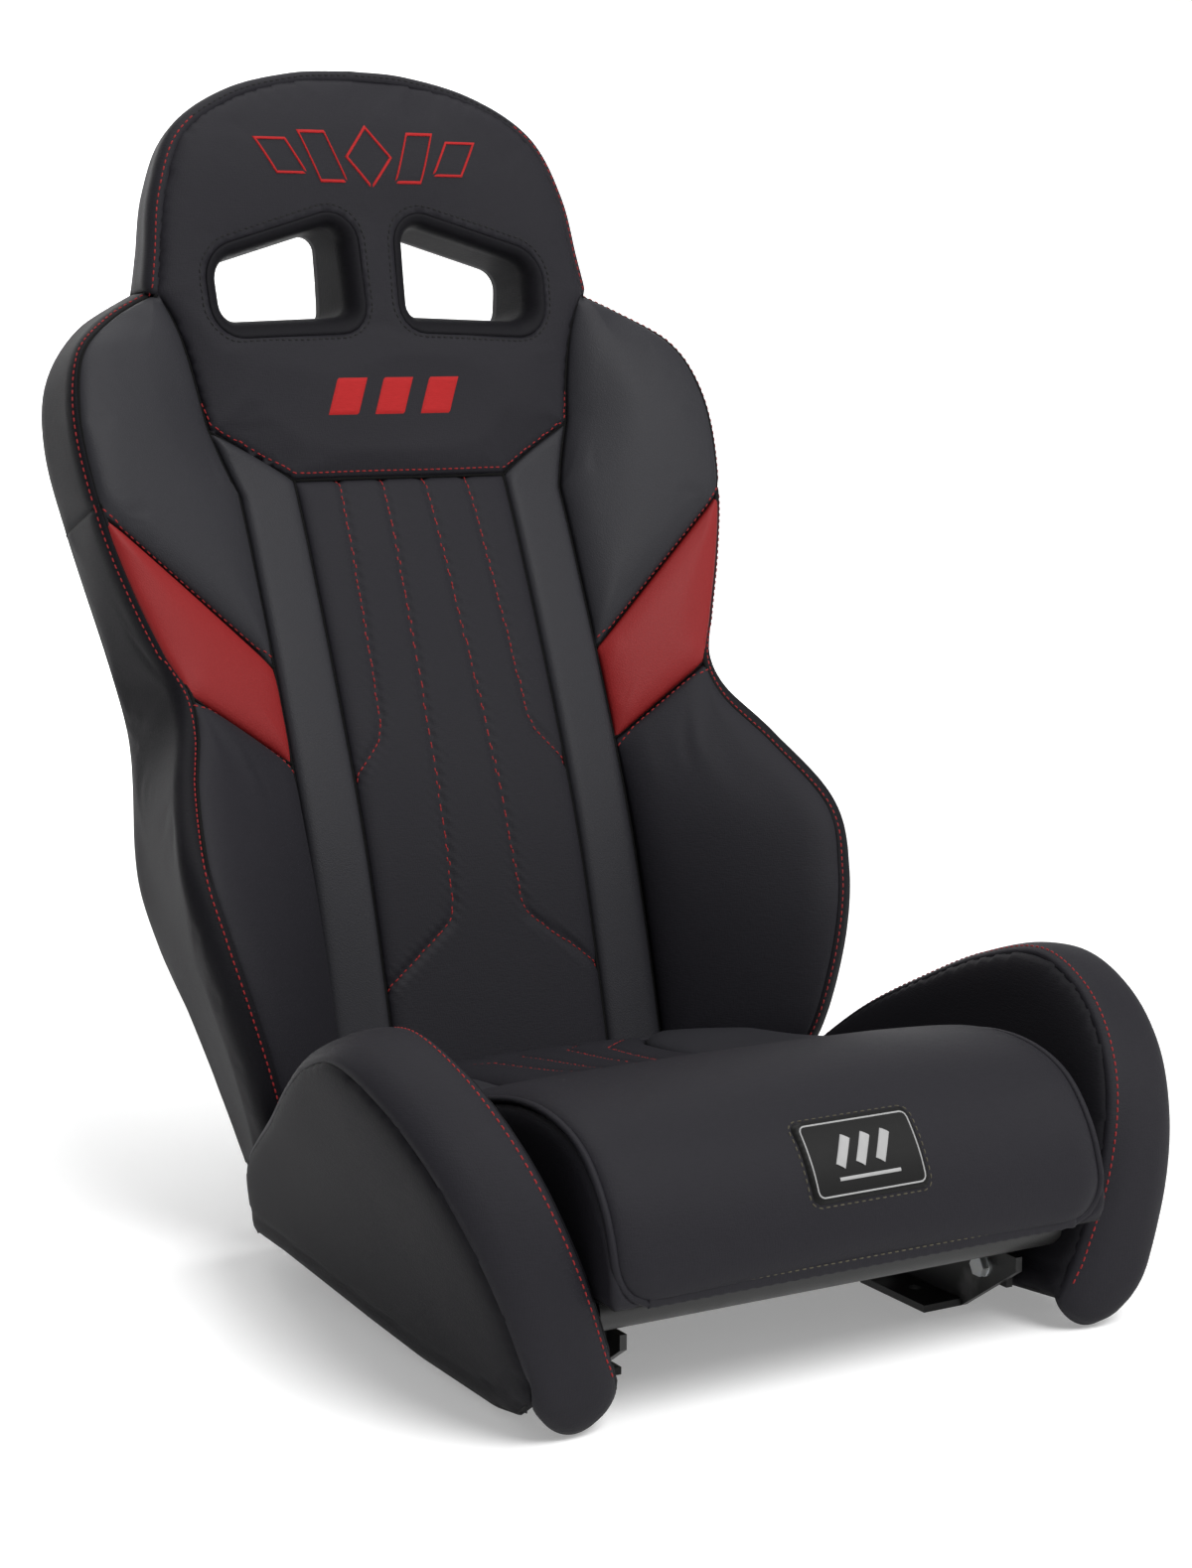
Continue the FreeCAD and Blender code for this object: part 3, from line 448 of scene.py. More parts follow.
# ---------------------------------------------------------------- cover materials
# Most of the cover is a black textured vinyl with a fine crossed grain. A darker, duller copy of it
# on the sides and in the belt openings is painted shade. The stripes and shoulders are a smoother
# charcoal vinyl, and the accents are red. The hidden backs and undersides are coated nylon cloth.
weave_pitch = .0012
cool_black, cool_slate = (1, .95, 1.22), (1, .99, 1.16)


def textured_vinyl(name, dark, light, shine=.13):
    """Crossed grain: fine threads along X and up Z, in two near shades."""
    vinyl = Finish(name, Specular_IOR_Level=shine)
    level = vinyl.noise(520, 1, (0.35, 0.35, 2.2))
    upright = vinyl.noise(520, 1, (2.2, 2.2, 0.35))
    grain = level * 0.5 + upright * 0.5
    patches = vinyl.noise(7, 3)
    shade = grain * 0.75 + patches * 0.25
    vinyl.colour(vinyl.mix(shade, dark, light))
    vinyl.roughness(patches * 0.16 + grain * 0.10 + 0.50)
    vinyl.bump(grain + vinyl.noise(2200, 1) * 0.25, 0.0005, 0.55)
    return vinyl.material


def smooth_vinyl(name, dark, light):
    """Leather-like pebbles about a millimetre across, with soft shading between them."""
    vinyl = Finish(name, Specular_IOR_Level=0.13)
    pebbles = vinyl.cells(950)
    patches = vinyl.noise(9, 4)
    vinyl.colour(vinyl.mix(patches * 0.7 + pebbles * 0.3, dark, light))
    vinyl.roughness(patches * 0.14 + 0.44)
    vinyl.bump(pebbles + vinyl.noise(420, 3) * 0.6, 0.0003, 0.4)
    return vinyl.material


def nylon(name):
    """Heavy cloth in a plain square weave."""
    cloth = Finish(name, Roughness=0.8, Specular_IOR_Level=0.2)
    spread = 2 * math.pi / weave_pitch
    along = cloth.place((spread, spread, spread))
    split = [cloth.node("ShaderNodeSeparateXYZ", None, along, output=axis) for axis in range(3)]
    waves = [part.math("SINE", part) for part in split]
    weave = waves[0] * waves[2] + waves[1] * 0.3
    cloth.colour(cloth.mix(weave * 0.3 + 0.5, grey(0.010), grey(0.020)))
    cloth.bump(weave, 0.0002, 0.6)
    return cloth.material


black_vinyl = textured_vinyl("black_vinyl", grey(.0075, cool_black), grey(.0150, cool_black))
# A darker, less shiny copy of the black vinyl: painted shade for the side bands, thigh faces and
# belt openings.
shade_painted_vinyl = textured_vinyl("shade_painted_vinyl", grey(.0035, cool_black), grey(.0080, cool_black), .08)
charcoal_vinyl = smooth_vinyl("charcoal_vinyl", grey(.0155, cool_slate), grey(.0220, cool_slate))
red_vinyl = smooth_vinyl("red_vinyl", (.160, .0095, .0098, 1), (.190, .0125, .0130, 1))
backing_cloth = nylon("backing_cloth")

skin = .0020
stretch_frames = 12


def fitted(piece, material, body, slot, *replaced):
    """Gives a piece its material, its place in the seat and the parts it stands for."""
    wear(piece, material)
    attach(piece, body)
    if replaced:
        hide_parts(*replaced)
    return piece


def sewn(piece, material, body, slot, *replaced):
    """A fitted sheet over padding, with its thickness inwards from its outer face."""
    thick = piece.modifiers.new("skin", "SOLIDIFY")
    thick.thickness = skin
    thick.offset = -1.0
    return fitted(piece, material, body, slot, *replaced)


def stretch(piece, pressure=2.5, cap=.004):
    """Cloth held along its open edges and blown out against the seams. No point moves more than
    `cap`. The result is written back to the mesh, so that no simulation is left on the piece."""
    mesh = piece.data
    rest = np.empty(len(mesh.vertices) * 3)
    mesh.vertices.foreach_get("co", rest)
    pairs = np.array([key for face in mesh.polygons for key in face.edge_keys])
    edges, uses = np.unique(pairs, axis=0, return_counts=True)
    held = piece.vertex_groups.new(name="held")
    held.add(np.unique(edges[uses == 1]).tolist(), 1.0, "REPLACE")
    cloth = piece.modifiers.new("stretch", "CLOTH")
    cloth.settings.vertex_group_mass = "held"
    cloth.settings.use_pressure = True
    cloth.settings.uniform_pressure_force = pressure
    cloth.settings.effector_weights.gravity = 0
    cloth.settings.tension_stiffness = 8
    cloth.settings.compression_stiffness = 8
    cloth.settings.shear_stiffness = 4
    cloth.settings.bending_stiffness = 0.4
    cloth.point_cache.frame_start = 1
    cloth.point_cache.frame_end = stretch_frames
    scene = bpy.context.scene
    for number in range(1, stretch_frames + 1):
        scene.frame_set(number)
    shaped = piece.evaluated_get(bpy.context.evaluated_depsgraph_get())
    moved = np.empty_like(rest)
    shaped.data.vertices.foreach_get("co", moved)
    shift = (moved - rest).reshape(-1, 3)
    far = np.linalg.norm(shift, axis=1, keepdims=True)
    shift *= np.minimum(1, cap / np.maximum(far, 1e-9))
    piece.modifiers.remove(cloth)
    piece.vertex_groups.remove(held)
    mesh.vertices.foreach_set("co", (rest.reshape(-1, 3) + shift).ravel())
    mesh.update()
    scene.frame_set(1)


# ---------------------------------------------------------------- centre panel and stripes
# The centre panel is quilted to its padding along four sewn lines: the outer pair turns out to
# the stripes at the waist, the inner pair below it. A charcoal stripe runs down each side.
quilt_lines = [[(.055, .541), (.063, .362), (.067, .348), (.091, .322)],
               [(.018, .541), (.029, .226), (.034, .213), (.091, .170)]]
quilt_depth, quilt_width = .0017, .0036
pucker_depth, pucker_width, pucker_pitch = .00035, .009, .0095


def distance_to(line, points):
    """Shortest distance from each 2-D point to a polyline."""
    line = np.asarray(line, float)
    start, way = line[:-1], np.diff(line, axis=0)
    offset = points[:, None, :] - start[None]
    t = np.clip(np.sum(offset * way, axis=-1) / np.maximum(np.sum(way * way, axis=-1), 1e-12), 0, 1)
    return np.linalg.norm(offset - way * t[..., None], axis=-1).min(axis=1)


def quilted(points, flat, lines, inward):
    """Presses sewn channels into a grid: a rounded groove along each line, with the cloth
    gathered into small puckers beside it. `flat` holds each point's place in the lines' plane."""
    normal = grid_normals(points)
    normal = normal * np.sign(normal @ np.asarray(inward, float))[..., None]
    depth = np.zeros(points.shape[:2])
    for line in lines:
        for sign in (1, -1):
            away = distance_to(np.array(line) * (sign, 1), flat.reshape(-1, 2))
            away = away.reshape(depth.shape)
            depth += quilt_depth * np.exp(-(away / quilt_width) ** 2)
            ripple = np.sin(2 * math.pi * (flat[..., 1] + flat[..., 0]) / pucker_pitch)
            depth += pucker_depth * ripple * np.exp(-(away / pucker_width) ** 2)
    return points + normal * depth[..., None]


z = foam_z + (stripe_top_in - foam_z) * np.linspace(0, 1, 230)[:, None]
x = 2 * stripe_in * np.linspace(0, 1, 92)[None, :] - stripe_in
centre = places(x, front_y(z), z)
flat = centre[..., [0, 2]]
centre = crowned(centre, (0, -1, 0), .0034, .014, .004)
centre = quilted(centre, flat, quilt_lines, (0, 1, 0))
centre_panel = grid_object("quilted_centre_panel", centre)
sewn(centre_panel, black_vinyl, "seat", "cover_black", "centre_panel", "back_foam")


def stripe_grid(rows=200, columns=18):
    """The stripe widens at its top, and its upper end is cut on the slant of the head panel."""
    v = np.linspace(0, 1, rows)[:, None]
    u = np.linspace(0, 1, columns)[None, :]
    top_in, top_out = stripe_top_in, stripe_top_out
    z = foam_z + v * (top_in + (top_out - top_in) * u - foam_z)
    share = np.clip((z - stripe_bend) / (top_out - stripe_bend), 0, 1)
    x = stripe_in + u * (stripe_out + share * (head_corner_x - stripe_out) - stripe_in)
    return places(x, front_y(z), z)


for side, sign in sides:
    grid = crowned(stripe_grid(), (0, -1, 0), .0030, .012, .001)
    stripe = grid_object("stripe_sewn_" + side, at_side(grid, sign))
    sewn(stripe, charcoal_vinyl, "seat", "vinyl_charcoal", "stripe_" + side)


# ---------------------------------------------------------------- bolster panels
# Each bolster's front is three panels sewn edge to edge on slanted seams: a long black wing, a
# red accent and a charcoal shoulder that runs up to the neck. Each is one sheet, ruled from the
# stripe out to the front edge and swollen by the foam behind it. The accent's two seams are given
# as their heights at the stripe and at the front edge.
accent_low, accent_high = (.336, .394), (.405, .524)
slants = {"wing": (foam_z, accent_low[0], foam_z, accent_low[1]),
          "accent": (accent_low[0], accent_high[0], accent_low[1], accent_high[1]),
          "shoulder": (accent_high[0], neck_z, accent_high[1], neck_z)}
panel_looks = {"wing": (black_vinyl, "cover_black", .008, .028, .007),
               "accent": (red_vinyl, "vinyl_red", .006, .022, .003),
               "shoulder": (charcoal_vinyl, "vinyl_charcoal", .007, .026, .006)}


def slanted_grid(low_in, high_in, low_out, high_out, rows, columns):
    """u runs from the inner edge to the front edge, v up both edges at once."""
    v = np.linspace(0, 1, rows)
    inner = inner_edge(low_in + (high_in - low_in) * v)[:, None, :]
    outer = outer_edge(low_out + (high_out - low_out) * v)[:, None, :]
    u = np.linspace(0, 1, columns)[None, :, None]
    return inner + (outer - inner) * u


panel_rows = {"wing": 84, "accent": 36, "shoulder": 76}
bolster_fronts = {}
for part, heights in slants.items():
    material, slot, crown, width, bulge = panel_looks[part]
    for side, sign in sides:
        grid = slanted_grid(*heights, panel_rows[part], 44)
        grid = crowned(grid, (0, -1, 0), crown, width, bulge)
        piece = grid_object(part + "_panel_sewn_" + side, at_side(grid, sign))
        stretch(piece)
        foam = ["wing_foam_" + side] if part == "wing" else []
        sewn(piece, material, "seat", slot, part + "_panel_" + side, *foam)
        bolster_fronts[part, side] = piece


# ---------------------------------------------------------------- side boxing of the back
# A band of black vinyl joins the bolster's front edge to the rear panel, from the hem up over
# the shoulder to the neck. A seam crosses it beside the red accent.
boxing_cross_z = .530
boxing_drop, drop_reach = .028, .12


def slanted(z):
    """The band's rows drop towards the rear, most at the cross seam: the height less the drop
    times what is left of one after the distance to the seam over the reach."""
    return z - boxing_drop * np.clip(1 - np.abs(z - boxing_cross_z) / drop_reach, 0, 1)


def rear_edge(z):
    """The rear corner of the cover."""
    return places(follow(rear_corner, z)[..., 0], rear_y(z), z)


def boxing_grid(low, high, rows, columns):
    """u runs from the front edge to the rear corner, v up the band in even steps."""
    fine = outer_edge(np.linspace(low, high, 800))
    z = evenly(fine, rows)[:, 2]
    z[0], z[-1] = low, high
    start = outer_edge(z)[:, None, :]
    rear = rear_edge(slanted(z))[:, None, :]
    u = np.linspace(0, 1, columns)[None, :, None]
    return start + (rear - start) * u


def rolled_edge(points):
    """The band rolls forwards over the foam at the bolster's front seam, and lies flatter
    towards the rear corner."""
    normal = grid_normals(points)
    normal = normal * np.sign(normal[..., :1])
    side, end = edge_distances(points)
    u = np.linspace(0, 1, points.shape[1])[None, :]
    z = points[:, :1, 2]
    full = np.interp(z, [.08, .12, .26, .33, .42, .60, .68],
                     [.016, .019, .0175, .0130, .0060, .0045, .0030])
    proud = full * (1 - u) ** 1.5 + .0015
    lift = -seam_tuck + (seam_tuck + proud) * swell(side, .018) * (.72 + .28 * swell(end, .007))
    return points + normal * lift[..., None]


boxing = {}
for side, sign in sides:
    for level, (low, high, rows) in {"lower": (hem_z, boxing_cross_z, 130),
                                     "upper": (boxing_cross_z, neck_z, 50)}.items():
        grid = rolled_edge(boxing_grid(low, high, rows, 40))
        piece = grid_object("side_band_" + level + "_" + side, at_side(grid, sign),
                            facing=(sign, 0, 0))
        stretch(piece, 1.5, .003)
        hidden = ["side_boxing_" + side] if level == "lower" else []
        # The side bands take the darker copy of the black vinyl, as painted shade.
        sewn(piece, shade_painted_vinyl, "seat", "cover_black", *hidden)
        boxing[level, side] = piece


# ---------------------------------------------------------------- head section
# A padded shield over the head hoop: one black front panel with two openings for the shoulder
# belts, a band over the top, and a rear panel. Each opening has a padded lining that is
# sewn to the front panel a finger's width outside its rim, and drops a little on its way through.
head_arch = [(.1865, neck_z), (.181, .712), (.173, .758), (.152, .804), (.106, .834),
             (.048, .849), (0, .852)]
slot_corners = [(.026, .665), (.133, .661), (.135, .706), (.028, .738)]
slot_radii = [.010, .014, .018, .012]
collar_reach, rear_collar_reach = .0125, .006
slot_drop = .0065
rear_seam_z, rear_neck_half = .652, .182
arch_middle = (0, .35, .72)


def rounded_outline(corners, radii, count):
    """Closed outline with tangent arcs at its corners, as evenly spaced points, with the
    directions that point out of it."""
    corners = np.asarray(corners, float)
    pieces = []
    for i, radius in enumerate(radii):
        back = corners[i - 1] - corners[i]
        ahead = corners[(i + 1) % len(corners)] - corners[i]
        back, ahead = back / np.linalg.norm(back), ahead / np.linalg.norm(ahead)
        half = math.acos(float(np.clip(back @ ahead, -1, 1))) / 2
        middle = (back + ahead) / np.linalg.norm(back + ahead)
        centre = corners[i] + middle * radius / math.sin(half)
        start = corners[i] + back * radius / math.tan(half) - centre
        end = corners[i] + ahead * radius / math.tan(half) - centre
        share = np.linspace(0, 1, 14)[:, None]
        arc = start * (1 - share) + end * share
        arc = arc / np.linalg.norm(arc, axis=1, keepdims=True) * radius
        pieces.append(centre + arc)
    line = np.concatenate(pieces + [pieces[0][:1]])
    line = evenly(line, count + 1)
    way = np.gradient(np.concatenate([line[-2:-1], line, line[1:2]]), axis=0)[1:-1]
    out = np.stack([way[:, 1], -way[:, 0]], axis=-1)
    out /= np.linalg.norm(out, axis=1, keepdims=True)
    if np.sum(out * (line - line.mean(axis=0))) < 0:
        out = -out
    return line[:-1], out[:-1]


def inside(outline, points):
    """Which points lie inside a closed outline, by counting crossings to one side."""
    start, end = outline, np.roll(outline, -1, axis=0)
    x, z = points[:, None, 0], points[:, None, 1]
    crosses = (start[:, 1] > z) != (end[:, 1] > z)
    fall = np.where(end[:, 1] == start[:, 1], 1e-12, end[:, 1] - start[:, 1])
    at = start[:, 0] + (z - start[:, 1]) * (end[:, 0] - start[:, 0]) / fall
    return (crosses & (x < at)).sum(axis=1) % 2 == 1


def trimmed_sheet(outline, holes, pitch):
    """A flat sheet cut to an outline with holes: its points, its triangles, and the distance
    of each point from the outline and from the nearest hole."""
    low, high = outline.min(axis=0), outline.max(axis=0)
    x, z = np.meshgrid(np.arange(low[0], high[0], pitch), np.arange(low[1], high[1], pitch * .866))
    x = x + (np.arange(len(x)) % 2)[:, None] * pitch / 2
    field = np.stack([x.ravel(), z.ravel()], axis=-1)
    borders = [outline] + holes
    clear = inside(outline, field)
    for border in borders:
        clear &= distance_to(np.vstack([border, border[:1]]), field) > pitch * .55
    for hole in holes:
        clear &= ~inside(hole, field)
    points = np.vstack(borders + [field[clear]])
    edges, start = [], 0
    for border in borders:
        here = np.arange(start, start + len(border))
        edges.append(np.stack([here, np.roll(here, -1)], axis=-1))
        start += len(border)
    made = delaunay_2d_cdt([Vector(p) for p in points], np.vstack(edges).tolist(), [], 0, 1e-7)
    points = np.array([tuple(p) for p in made[0]])
    triangles = np.array(made[2])
    middle = points[triangles].mean(axis=1)
    keep = inside(outline, middle)
    for hole in holes:
        keep &= ~inside(hole, middle)
    from_edge = distance_to(np.vstack([outline, outline[:1]]), points)
    from_hole = np.full(len(points), 1.0)
    for hole in holes:
        from_hole = np.minimum(from_hole, distance_to(np.vstack([hole, hole[:1]]), points))
    return points, triangles[keep], from_edge, from_hole


def sheet_object(name, points, triangles, facing):
    """An object from a trimmed sheet's triangles, turned to look along `facing`."""
    corner = points[triangles]
    normal = np.cross(corner[:, 1] - corner[:, 0], corner[:, 2] - corner[:, 0])
    if np.sum(normal * np.asarray(facing)) < 0:
        triangles = triangles[:, ::-1]
    return mesh_object(name, points, triangles)


arch_right = smooth_line(head_arch, 70)
arch = np.vstack([arch_right, (arch_right * (-1, 1))[-2::-1]])


def dense(line, pitch=.004):
    line = np.asarray(line, float)
    length = np.linalg.norm(np.diff(line, axis=0), axis=1).sum()
    return evenly(line, max(3, int(length / pitch) + 1))


neck_side = inner_edge(np.linspace(stripe_top_out, neck_z, 40))[:, [0, 2]]
lower_right = np.vstack([dense([(0, stripe_top_in), (stripe_in, stripe_top_in)])[:-1],
                         dense([(stripe_in, stripe_top_in), neck_side[0]])[:-1],
                         dense(neck_side)[:-1]])
shield_outline = np.vstack([lower_right, arch, (lower_right * (-1, 1))[:0:-1]])
slot_line, slot_out = rounded_outline(slot_corners, slot_radii, 96)
collar_line = slot_line + slot_out * collar_reach
slot_holes = [collar_line, collar_line * (-1, 1)]

flat, triangles, from_edge, from_hole = trimmed_sheet(shield_outline, slot_holes, .0042)
rise = swell(from_edge, .022)
lift = -seam_tuck + (seam_tuck + .0045) * rise + .0025 * swell(from_edge, .12)
lift *= .93 + .07 * swell(from_hole, .012)
y = front_y(flat[:, 1]) - lift + .0006 * np.sin(flat[:, 0] * 40) * np.sin(flat[:, 1] * 55)
head_front = sheet_object("head_shield", places(flat[:, 0], y, flat[:, 1]), triangles, (0, -1, 0))
stretch(head_front, 1.5, .0025)
sewn(head_front, black_vinyl, "seat", "cover_black", "head_panel", "head_foam")


def drawn_in(line, share):
    """The head's outline at a share of the way to the rear: up to 1 % narrower and 0.8 mm
    lower there."""
    x, z = line[:, 0], line[:, 1]
    return x * (1 - .010 * share), z - .0008 * share * np.clip((z - neck_z) / .10, 0, 1)


arch_band = dense(arch, .0045)
depth_share = np.linspace(0, 1, 16)[:, None]
x, z = drawn_in(arch_band, depth_share)
y = front_y(arch_band[:, 1]) * (1 - depth_share) + rear_y(arch_band[:, 1]) * depth_share
band = places(x, y, z)
normal = grid_normals(band)
outward = band - np.array(arch_middle)
normal = normal * np.sign(np.sum(normal * outward, axis=-1, keepdims=True))
side_gap, end_gap = edge_distances(band)
proud = .0090 * (1 - depth_share) ** 1.5 + .0015
lift = -seam_tuck + (seam_tuck + proud) * swell(end_gap, .018) * (.6 + .4 * swell(side_gap, .010))
band = band + normal * lift[..., None]
head_band = grid_object("head_band", band, away_from=arch_middle)
sewn(head_band, black_vinyl, "seat", "cover_black", "head_boxing")

rear_half = follow(rear_corner, rear_seam_z)[0]
up_right = dense([(rear_half, rear_seam_z), (rear_neck_half, neck_z)])
rear_rim = np.vstack([up_right[:-1], np.column_stack(drawn_in(arch, 1)),
                      (up_right * (-1, 1))[-2::-1],
                      dense([(-rear_half, rear_seam_z), (rear_half, rear_seam_z)])[1:-1]])
rear_collar = slot_line + slot_out * rear_collar_reach - (0, slot_drop)
flat, triangles, from_edge, from_hole = trimmed_sheet(
    rear_rim, [rear_collar, rear_collar * (-1, 1)], .0060)
rise = swell(from_edge, .018) * (.4 + .6 * swell(from_hole, .012))
lift = -seam_tuck + (seam_tuck + .0068) * rise
back = places(flat[:, 0], rear_y(flat[:, 1]) + lift, flat[:, 1])
head_rear = sheet_object("head_rear_cover", back, triangles, (0, 1, 0))
sewn(head_rear, backing_cloth, "seat", "backing_cloth", "head_rear_panel")


def slot_lining_grid():
    """Carried round the opening: out of the front panel's seam, over a padded rim, straight
    back through the head, and out to the rear panel. Columns go round, rows go through."""
    roll = np.linspace(0, math.pi / 2, 9)
    rim = collar_reach - .0006
    front_reach = np.concatenate([[collar_reach], rim * (1 - np.sin(roll))])
    front_back = np.concatenate([[-.0052], -.0066 + .0190 * (1 - np.cos(roll))])
    rear_reach = rear_collar_reach * np.sin(roll)
    rear_back = -rear_collar_reach * (1 - np.sin(roll[::-1]))
    inner = front_y(slot_line[:, 1]) + front_back[-1]
    end = rear_y(slot_line[:, 1])
    rows = []
    for reach, deep in zip(front_reach, front_back):
        edge = slot_line + slot_out * reach
        rows.append(places(edge[:, 0], front_y(edge[:, 1]) + deep, edge[:, 1]))
    for part in np.linspace(.05, .95, 10):
        rows.append(places(slot_line[:, 0], inner + (end - rear_collar_reach - inner) * part,
                           slot_line[:, 1] - slot_drop * part))
    for reach, deep in zip(rear_reach, rear_back):
        edge = slot_line + slot_out * reach - (0, slot_drop)
        rows.append(places(edge[:, 0], rear_y(edge[:, 1]) + deep, edge[:, 1]))
    return np.stack(rows)


for side, sign in sides:
    grid = at_side(slot_lining_grid(), sign)
    piece = grid_object("slot_collar_" + side, grid, wrap=True, facing=(0, -1, 0))
    # The belt opening linings take the darker copy of the black vinyl, as painted shade.
    sewn(piece, shade_painted_vinyl, "seat", "cover_black", "slot_lining_" + side)


# ---------------------------------------------------------------- rear cover
# One flat panel of coated cloth closes the back behind the tubes, and a dust cover closes the
# bottom of the cushioning above the rails.
def rear_grid(rows=90, columns=70):
    z = np.linspace(hem_z, rear_seam_z, rows)[:, None]
    u = np.linspace(-1, 1, columns)[None, :]
    return places(follow(rear_corner, z)[..., 0] * u, rear_y(z), z)


rear_cover = grid_object("rear_cover", crowned(rear_grid(), (0, 1, 0), .0015, .030, .0015),
                         facing=(0, 1, 0))
sewn(rear_cover, backing_cloth, "seat", "backing_cloth", "rear_panel")

dust_half, dust_front, dust_z, dust_sag = .186, .096, .0885, .004
u = np.linspace(-1, 1, 50)[None, :]
v = np.linspace(0, 1, 24)[:, None]
x = u * dust_half
start = dust_front - np.maximum(0, np.abs(x) - stripe_out) * .95
y = start + .004 + (rear_y(.088) - .004 - start) * v
z = dust_z - dust_sag * np.sin(math.pi * v) * np.cos(u * math.pi / 2)
dust_cover = grid_object("dust_cover", places(x, y, z), facing=(0, 0, -1))
sewn(dust_cover, backing_cloth, "seat", "backing_cloth")


# ---------------------------------------------------------------- thigh bolsters
# Free-standing bolsters on each side of the cushion: a crowned band between two curved seams,
# a flat face inside and outside, and a hem that is cut away behind a small foot at the front.
thigh_inner = [(.048, .0240), (.045, .034), (.032, .065), (.014, .091), (-.012, .117),
               (-.060, .157), (-.120, .190), (-.175, .215), (-.235, .229), (-.285, .216),
               (-.322, .190), (-.348, .154), (-.361, .105), (-.360, .055), (-.355, .0245)]
thigh_outer = [(.048, .0240), (.046, .034), (.035, .057), (.018, .082), (-.008, .102),
               (-.060, .133), (-.120, .173), (-.170, .201), (-.225, .217), (-.276, .204),
               (-.319, .175), (-.348, .135), (-.363, .092), (-.366, .048), (-.357, .0260)]
thigh_inner_x, thigh_inner_lean = .159, .35
thigh_outer_x, thigh_outer_lean = .221, .345
thigh_heart = (.22, -.15, .09)
tongue_drop, tongue_rows = .0240, 14
thigh_base_span = (-.350, .046)


def leaning(line, start, lean, out=0.0):
    """Puts (y, z) points on a face that leans outwards with height, `out` proud of it."""
    return places(start + lean * line[:, 1] + out, line[:, 0], line[:, 1])


def thigh_band(rows=170, columns=30):
    """The band: u runs from the inner seam to the outer seam, v from the back over the top. Its
    last rows drop between the seams, as a rounded tongue that covers the foot."""
    inner = leaning(smooth_line(thigh_inner, rows), thigh_inner_x, thigh_inner_lean)
    outer = leaning(smooth_line(thigh_outer, rows), thigh_outer_x, thigh_outer_lean)
    u = np.linspace(0, 1, columns)[None, :, None]
    band = inner[:, None, :] * (1 - u) + outer[:, None, :] * u
    tongue = np.clip(1 - (rows - 1 - np.arange(rows)) / tongue_rows, 0, 1)[:, None]
    band[..., 2] -= tongue_drop * tongue * (1 - (2 * u[..., 0] - 1) ** 2) ** .8
    return band


inner_hem = [(-.355, .0245), (-.300, .0200), (.048, .0240)]
outer_hem = [(-.357, .0260), (-.330, .0100), (-.300, .0045), (-.200, .0050), (-.130, .0100),
             (.000, .0220), (.048, .0240)]


def hem_height(rows, y):
    """The bottom edge of a face at each y."""
    return np.interp(y, *np.transpose(rows))


def thigh_face(rows, hem, start, lean, out, pillow):
    """A face of the bolster: its points and triangles, pillowed by `pillow` towards `out`."""
    top = smooth_line(rows, 150)
    y = np.linspace(top[-1, 0], top[0, 0], 80)
    outline = np.vstack([top, places(y, hem_height(hem, y))[1:-1]])
    flat, triangles, from_edge, _ = trimmed_sheet(outline, [], .0052)
    lift = -seam_tuck + (seam_tuck + pillow) * swell(from_edge, .024) + .004 * swell(from_edge, .09)
    lift -= .0020 * np.exp(-((flat[:, 1] - hem_height(hem, flat[:, 0]) - .020) / .0026) ** 2)
    return leaning(flat, start, lean, out * lift), triangles


thigh_bands = {}
for side, sign in sides:
    grid = thigh_band()
    grid = crowned(grid, grid - np.array(thigh_heart), .0050, .020, .0030)
    band_piece = grid_object("thigh_band_" + side, at_side(grid, sign),
                             away_from=np.array(thigh_heart) * (sign, 1, 1))
    stretch(band_piece, 1.5, .003)
    sewn(band_piece, black_vinyl, "seat", "cover_black", "thigh_cover_" + side,
         "thigh_foam_" + side)
    faces = {"outer": (thigh_outer, outer_hem, thigh_outer_x, thigh_outer_lean, 1, .0030),
             "inner": (thigh_inner, inner_hem, thigh_inner_x, thigh_inner_lean, -1, .0035)}
    for part, (*shape, out, pillow) in faces.items():
        points, triangles = thigh_face(*shape, out, pillow)
        piece = sheet_object("thigh_" + part + "_face_" + side, at_side(points, sign), triangles,
                             (out * sign, 0, 0))
        # The flat thigh faces take the darker copy of the black vinyl, as painted shade.
        sewn(piece, shade_painted_vinyl, "seat", "cover_black")
    thigh_bands[side] = band_piece

    y = np.linspace(*thigh_base_span, 60)[:, None]
    u = np.linspace(0, 1, 10)[None, :]
    low = hem_height(inner_hem, y) * (1 - u) + hem_height(outer_hem, y) * u + .0015
    x = thigh_inner_x * (1 - u) + thigh_outer_x * u + thigh_inner_lean * low
    base = at_side(places(x, y, low), sign)
    piece = grid_object("thigh_base_" + side, base, facing=(0, 0, -1))
    sewn(piece, backing_cloth, "seat", "backing_cloth")


# ---------------------------------------------------------------- seat cushion
# A separate cushion in its own zipped cover: a quilted black centre between charcoal sides, a
# deep front roll sewn on across the thighs, a band all round and a nylon underside. Cord piping
# is sewn into the side edges and the front of the hem is bound with tape.
cushion_rows = [(.090, .112), (.040, .121), (-.060, .134), (-.130, .150), (-.200, .171),
                (-.257, .184), (-.302, .184), (-.338, .172), (-.363, .146), (-.376, .115),
                (-.378, .090), (-.378, .0845)]
cushion_base, cushion_half = .0824, .184
corner_y, back_y, back_half = .020, .090, .128
underside_span = (-.377, .089)
roll_seam_y = -.135
cushion_seam = [(-.136, .113), (-.090, .095), (-.034, .083), (.030, .088), (.060, .100),
                (.091, .120)]
cushion_heart = (0, -.14, .13)
cushion_quilting = [[(.104, .092), (.047, .026), (.037, -.050), (.022, -.135)],
                    [(.043, .092), (.041, .060), (.020, .042), (.016, .000), (.013, -.135)],
                    [(.084, -.066), (.060, -.135)]]

